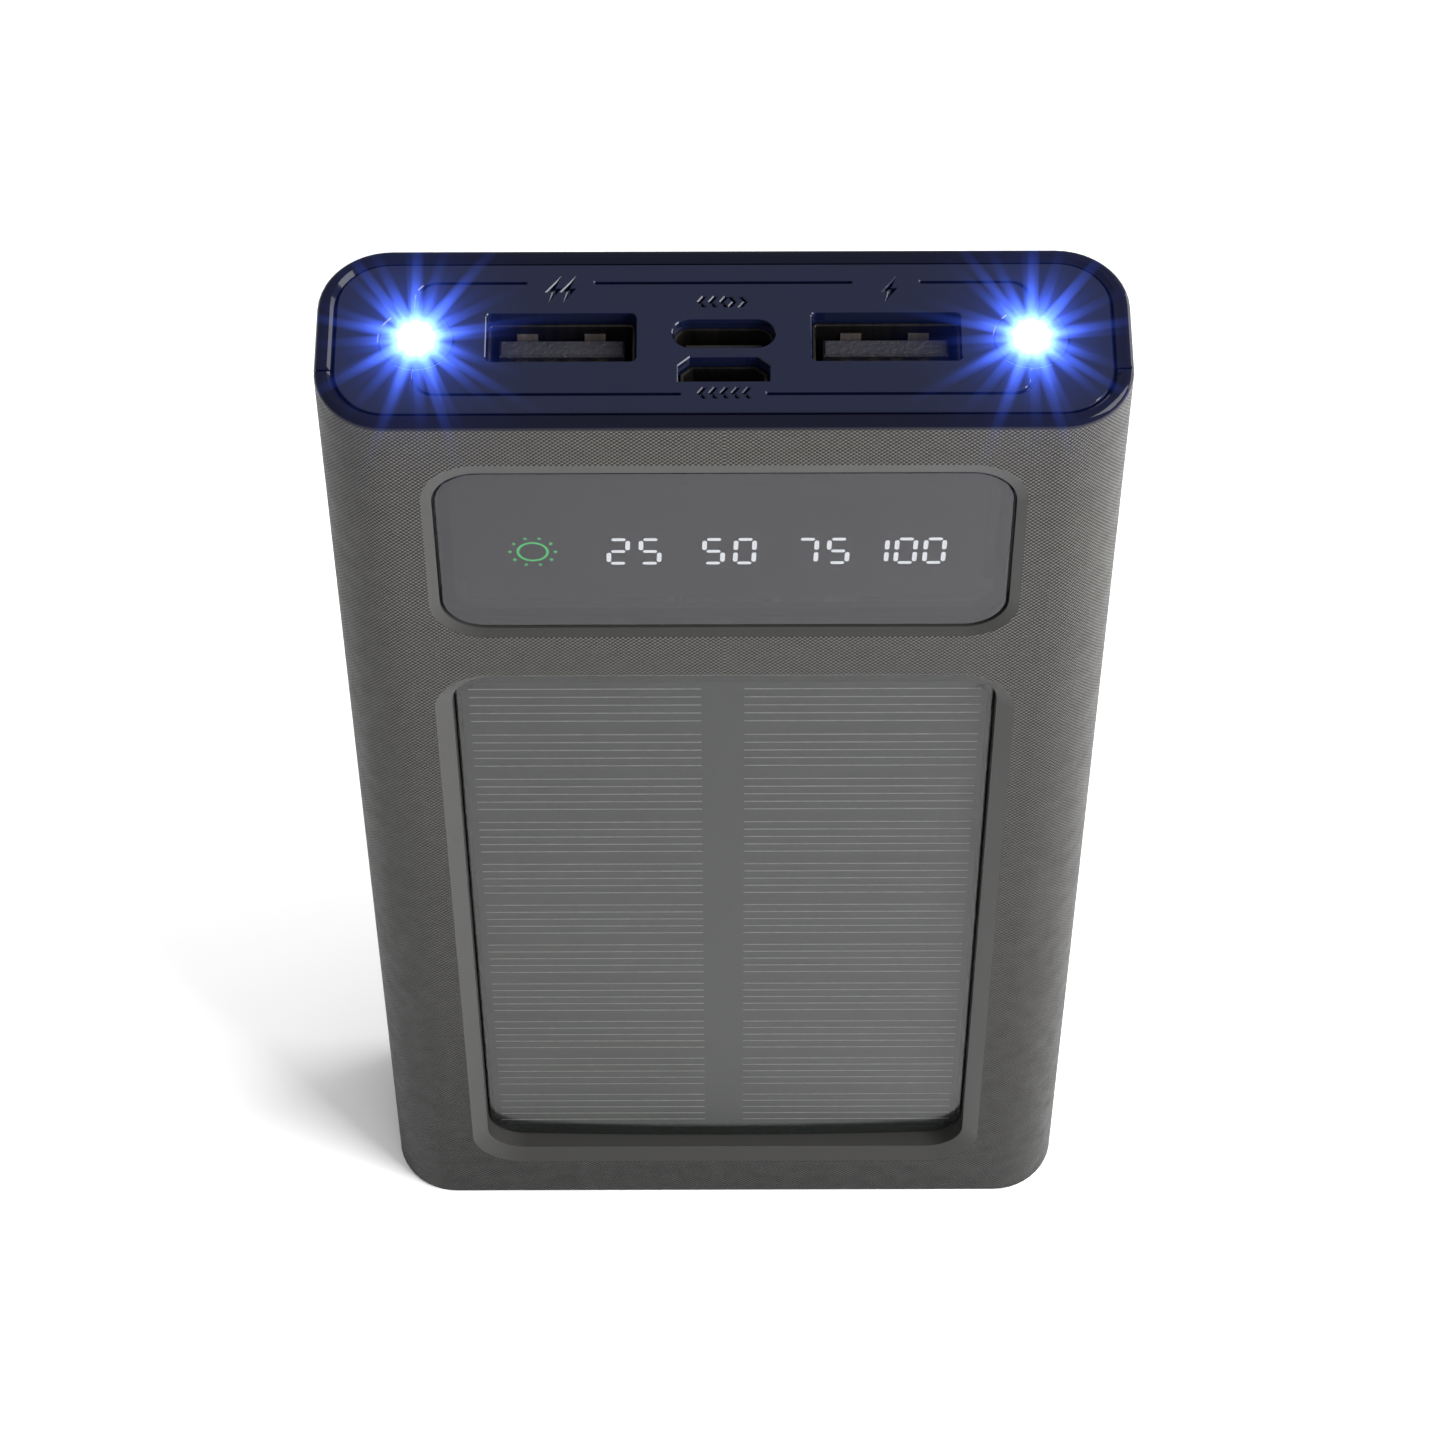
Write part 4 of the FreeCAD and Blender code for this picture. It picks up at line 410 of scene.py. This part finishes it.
def torch_lens(name):
    """Lens of a lit torch: white centre, blue light spreading out, clear rim."""
    g = Graph(name)
    x, y, _ = g.millimetres()
    across = g.math("SUBTRACT", g.math("ABSOLUTE", x), TORCH_X)
    along = g.math("SUBTRACT", y, TORCH_Y)
    square = g.math("ADD", g.math("MULTIPLY", across, across), g.math("MULTIPLY", along, along))
    distance = g.math("SQRT", square)
    centred = g.math("SUBTRACT", distance, TORCH_RIPPLE / 2)
    ripple = g.math("MULTIPLY_ADD", g.noise(0.5), TORCH_RIPPLE, centred)
    core = g.remap(ripple, TORCH_CORE * 0.75, TORCH_CORE * 1.15, 1.0, 0.0)
    spread = g.remap(ripple, TORCH_CORE, TORCH_LENS, 1.0, 0.0)
    halo = g.math("MULTIPLY", spread, spread)
    blue = g.blend(halo, rgba(0.000003, 0.00001, 0.00006), rgba(0.0004, 0.0008, 0.003))
    glow = g.blend(core, blue, rgba(0.0024, 0.0031, 0.005))
    spot = g.remap(ripple, TORCH_SPOT * 0.8, TORCH_SPOT, 1.0, 0.0)
    g.shader.inputs["Emission Strength"].default_value = TORCH_POWER
    g.set(
        # The base colour is painted lighter and bluer with the halo: a painted glow on the lens.
        Base_Color=g.blend(halo, rgba(0.01, 0.014, 0.05), rgba(0.1, 0.15, 0.5)),
        Emission_Color=g.blend(spot, glow, rgba(0.8, 0.9, 1.0)),
        Roughness=0.05,
        Normal=g.bump(g.noise(1.4, 1.0), 0.01),
    )
    return g.material


def dress(material, *names):
    """Give CAD nodes one material."""
    for name in names:
        slots = nodes[name].data.materials
        slots.clear()
        slots.append(material)


def finish_case():
    """Shells, port panel, button and the two windows."""
    dress(woven_shell("FrontShell"), "front_cover")
    dress(woven_shell("RearShell"), "rear_cover")
    # The panel's blue tint is a painted glow of the torches.
    dress(polished_black("PanelGloss", PANEL_BLACK_PAINTED_BLUE_GLOW, roughness=0.06), "port_panel")
    dress(polished_black("ButtonGloss", (0.009, 0.009, 0.01), roughness=0.14), "power_button")
    smoke = smoked_window("DisplaySmoke", (0.009, 0.008, 0.012), alpha=0.72, roughness=0.09)
    dress(smoke, "display_window")
    resin = smoked_window("SolarClear", (0.012, 0.0135, 0.0125), alpha=0.62, roughness=0.1)
    dress(resin, "solar_resin")


def finish_lamps():
    """Lit parts. Only the camera sees the lenses' light; it doesn't fall on other surfaces."""
    lenses = ("torch_lens_left", "torch_lens_right")
    dress(torch_lens("TorchLens"), *lenses)
    for lens in lenses:
        nodes[lens].visible_diffuse = False
        nodes[lens].visible_glossy = False
    dress(lit("NumeralLight", (0.92, 0.95, 1.0), strength=9.0), "display_numerals")
    dress(lit("SunLight", (0.02, 0.75, 0.16), strength=7.0), "display_sun")
    dress(lit("TorchLamp", (0.3, 0.5, 1.0), strength=2.0), "torch_led_left", "torch_led_right")


def finish_metal():
    """Sockets, contacts, pins, screws, tabs and the cells' foil."""
    tinned = metal("TinnedPins", (0.72, 0.72, 0.7), roughness=0.3)
    dress(tinned, "display_pins", "torch_led_leads")
    shells = ("usb_a_left_shell", "usb_a_right_shell", "usb_c_shell", "micro_usb_shell")
    dress(socket_steel("SocketSteel"), *shells)
    contacts = ("usb_a_left_contacts", "usb_a_right_contacts", "usb_c_contacts", "micro_usb_contacts")
    dress(metal("GoldContacts", (0.85, 0.62, 0.28), roughness=0.25), *contacts)
    turned = metal("ScrewSteel", (0.55, 0.55, 0.54), roughness=0.3, stretch=(300.0, 40.0, 300.0))
    dress(turned, "board_screws")
    dress(metal("NickelTab", (0.68, 0.65, 0.58), roughness=0.3), "cell_tabs")
    dress(foil("PouchFoil"), "battery_cell_front", "battery_cell_rear")


def finish_plastic():
    """Insulation, board parts and switch: name, colour, roughness, then the nodes."""
    plain = (
        ("RedWire", (0.5, 0.02, 0.015), 0.45, "solar_lead_red", "battery_lead_red"),
        ("BlackWire", (0.012, 0.012, 0.012), 0.45, "solar_lead_black", "battery_lead_black"),
        ("SocketInsulator", (0.007, 0.007, 0.008), 0.5, "usb_c_tongue", "micro_usb_tongue"),
        ("CapacitorCeramic", (0.42, 0.28, 0.16), 0.4, "ceramic_capacitors"),
        ("SwitchPlastic", (0.014, 0.014, 0.014), 0.4, "switch_body"),
        ("PlungerPlastic", (0.75, 0.75, 0.72), 0.4, "switch_plunger"),
    )
    for name, color, roughness, *parts in plain:
        dress(moulded(name, color, roughness), *parts)
    tongue = moulded("TongueInsulator", (0.016, 0.016, 0.022), 0.5, grain=0.5, relief=0.12, spread=0.6)
    dress(tongue, "usb_a_left_tongue", "usb_a_right_tongue")
    ferrite = moulded("Ferrite", (0.045, 0.045, 0.05), 0.55, grain=0.2, relief=0.02)
    dress(ferrite, "power_inductors")
    epoxy = moulded("ChipEpoxy", (0.015, 0.015, 0.016), 0.5, grain=0.12, relief=0.01)
    dress(epoxy, "controller_chips", "chip_resistors")
    paper = moulded("FishPaper", (0.30, 0.36, 0.26), 0.8, grain=0.5, relief=0.02)
    dress(paper, "insulation_sheet")


def finish_layers():
    """Flat layers: display backing, solar laminate, tapes, foam and boards."""
    dress(polished_black("DisplayHousing", DISPLAY_BLACK, roughness=0.1), "display_housing")
    dress(polished_black("BlackTape", DISPLAY_BLACK, roughness=0.1), "display_adhesive")
    dress(foam("WhiteTape", (0.7, 0.7, 0.66)), "solar_adhesive", "cell_tape")
    dress(foam("GreyFoam", (0.16, 0.16, 0.16)), "foam_pad")
    dress(silicon("SolarBacking"), "solar_substrate")
    dress(silicon("SolarSilicon"), "solar_cells")
    dress(circuit("CircuitBoard"), "main_board", "display_board")


def add_box(mesh, low, high):
    """Add an axis-aligned box to a bmesh."""
    size = Vector(high) - Vector(low)
    middle = (Vector(high) + Vector(low)) / 2
    place = Matrix.Translation(middle) @ Matrix.Diagonal((*size, 1.0))
    bmesh.ops.create_cube(mesh, size=1.0, matrix=place)


def object_from(mesh, name, material):
    """Turn a bmesh into an object with one material."""
    data = bpy.data.meshes.new(name)
    mesh.to_mesh(data)
    mesh.free()
    data.materials.append(material)
    piece = bpy.data.objects.new(name, data)
    bpy.context.scene.collection.objects.link(piece)
    return piece


def cell_film():
    """Dark film that the cells are laminated in; returns the place of its front face."""
    low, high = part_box("solar_cells")
    margin = FILM_MARGIN * MM
    front = low[1] - FILM_THICKNESS * MM
    mesh = bmesh.new()
    lowest = (low[0] - margin, front, low[2] - margin)
    highest = (high[0] + margin, low[1], high[2] + margin)
    add_box(mesh, lowest, highest)
    corners = [edge for edge in mesh.edges if edge.verts[0].co.y != edge.verts[1].co.y]
    bmesh.ops.bevel(mesh, geom=corners, offset=FILM_CORNER * MM, segments=4, affect="EDGES")
    piece = object_from(mesh, "cell_film", silicon("CellFilm"))
    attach(piece, "case")
    return front


def cell_fingers(front):
    """Printed silver lines on the film, in two columns."""
    mesh = bmesh.new()
    half = PRINT_LINE_HEIGHT / 2
    for row in range(PRINT_ROWS):
        for line in range(PRINT_LINES):
            offset = (line - (PRINT_LINES - 1) / 2) * PRINT_LINE_PITCH
            z = PRINT_LOWEST_Z + row * PRINT_ROW_PITCH + offset
            for x0, x1 in PRINT_SPANS:
                low = (x0 * MM, front - PRINT_LINE_THICKNESS * MM, (z - half) * MM)
                high = (x1 * MM, front, (z + half) * MM)
                add_box(mesh, low, high)
    g = Graph("PrintedSilver")
    g.shader.inputs["Metallic"].default_value = 0.3
    breaks = g.noise(0.6, 4.0)
    g.set(
        Base_Color=g.blend(breaks, rgba(0.25, 0.25, 0.23), rgba(0.75, 0.75, 0.69)),
        Roughness=0.5,
        Normal=g.bump(g.noise(0.2), 0.006),
    )
    piece = object_from(mesh, "cell_fingers", g.material)
    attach(piece, "case")


def floor():
    """Wide pale floor."""
    mesh = bmesh.new()
    bmesh.ops.create_grid(mesh, x_segments=1, y_segments=1, size=FLOOR_SIZE / 2)
    g = Graph("StudioFloor")
    darker, lighter = FLOOR_SHADES
    g.set(
        Base_Color=g.blend(g.noise(60.0), rgba(*darker), rgba(*lighter)),
        Roughness=0.9,
    )
    g.shader.inputs["Specular IOR Level"].default_value = 0.0
    ground = object_from(mesh, "studio_floor", g.material)


def sky():
    """Soft white surroundings."""
    world = bpy.data.worlds.new("Studio")
    world.use_nodes = True
    backdrop = world.node_tree.nodes["Background"]
    backdrop.inputs["Color"].default_value = rgba(1.0, 1.0, 1.0)
    backdrop.inputs["Strength"].default_value = SKY_STRENGTH
    bpy.context.scene.world = world


def softbox(name, place, target, size, power, in_reflections=True):
    """Rectangular area light aimed at a point."""
    data = bpy.data.lights.new(name, "AREA")
    data.shape = "RECTANGLE"
    data.size, data.size_y = size
    data.energy = power
    lamp = bpy.data.objects.new(name, data)
    lamp.location = place
    aim = Vector(target) - Vector(place)
    lamp.rotation_euler = aim.to_track_quat("-Z", "Y").to_euler()
    lamp.visible_glossy = in_reflections
    bpy.context.scene.collection.objects.link(lamp)


def studio_lights():
    """Key and edge light from the right; fill from the front, kept out of the gloss."""
    softbox(
        "KeySoftbox", place=(1.05, 0.0, 1.05), target=(0.0, -0.05, 0.0),
        size=(1.0, 1.0), power=26.0,
    )
    softbox(
        "FillSoftbox", place=(0.0, -0.8, 1.3), target=(0.0, -0.15, 0.0),
        size=(2.6, 1.2), power=11.0, in_reflections=False,
    )
    softbox(
        "SideSoftbox", place=(0.32, -0.22, 0.24), target=(0.0, 0.0, 0.08),
        size=(0.2, 0.2), power=2.7, in_reflections=False,
    )
    softbox(
        "EdgeSoftbox", place=(1.0, 0.6, 0.2), target=(0.0, 0.0, 0.13),
        size=(0.7, 0.35), power=3.0,
    )


def flare(tree, image, kind, **inputs):
    """Glare of the torches alone, as its own image."""
    node = tree.nodes.new("CompositorNodeGlare")
    node.glare_type = kind
    node.quality = "HIGH"
    node.inputs["Threshold"].default_value = FLARE_THRESHOLD
    node.inputs["Tint"].default_value = FLARE_TINT
    for key, value in inputs.items():
        node.inputs[key.replace("_", " ")].default_value = value
    tree.links.new(image, node.inputs["Image"])
    return node.outputs["Glare"]


def camera_flare():
    """Starburst and halo that the lit torches leave in the picture."""
    scene = bpy.context.scene
    scene.use_nodes = True
    tree = scene.node_tree
    tree.nodes.clear()
    picture = tree.nodes.new("CompositorNodeRLayers").outputs["Image"]
    flares = [flare(tree, picture, "FOG_GLOW", Size=0.35, Strength=0.3)]
    for rays in FLARE_RAYS:
        flares.append(flare(tree, picture, "STREAKS", **rays))
    total = picture
    for light in flares:
        add = tree.nodes.new("CompositorNodeMixRGB")
        add.blend_type = "ADD"
        tree.links.new(total, add.inputs[1])
        tree.links.new(light, add.inputs[2])
        total = add.outputs[0]
    result = tree.nodes.new("CompositorNodeComposite")
    tree.links.new(total, result.inputs["Image"])


def camera():
    """Long lens that looks down at the front and top."""
    data = bpy.data.cameras.new("Camera")
    data.sensor_width = SENSOR
    data.lens = CAMERA_LENS
    data.clip_start = CAMERA_NEAR
    holder = bpy.data.objects.new("Camera", data)
    turn = Matrix.Rotation(CAMERA_PITCH, 4, "X") @ Matrix.Rotation(CAMERA_ROLL, 4, "Z")
    holder.matrix_world = Matrix.Translation(CAMERA_PLACE) @ turn
    bpy.context.scene.collection.objects.link(holder)
    bpy.context.scene.camera = holder


bpy.context.scene.view_settings.view_transform = "Standard"
camera()
sky()
floor()
studio_lights()
finish_case()
finish_lamps()
finish_metal()
finish_plastic()
finish_layers()
cell_fingers(cell_film())
camera_flare()
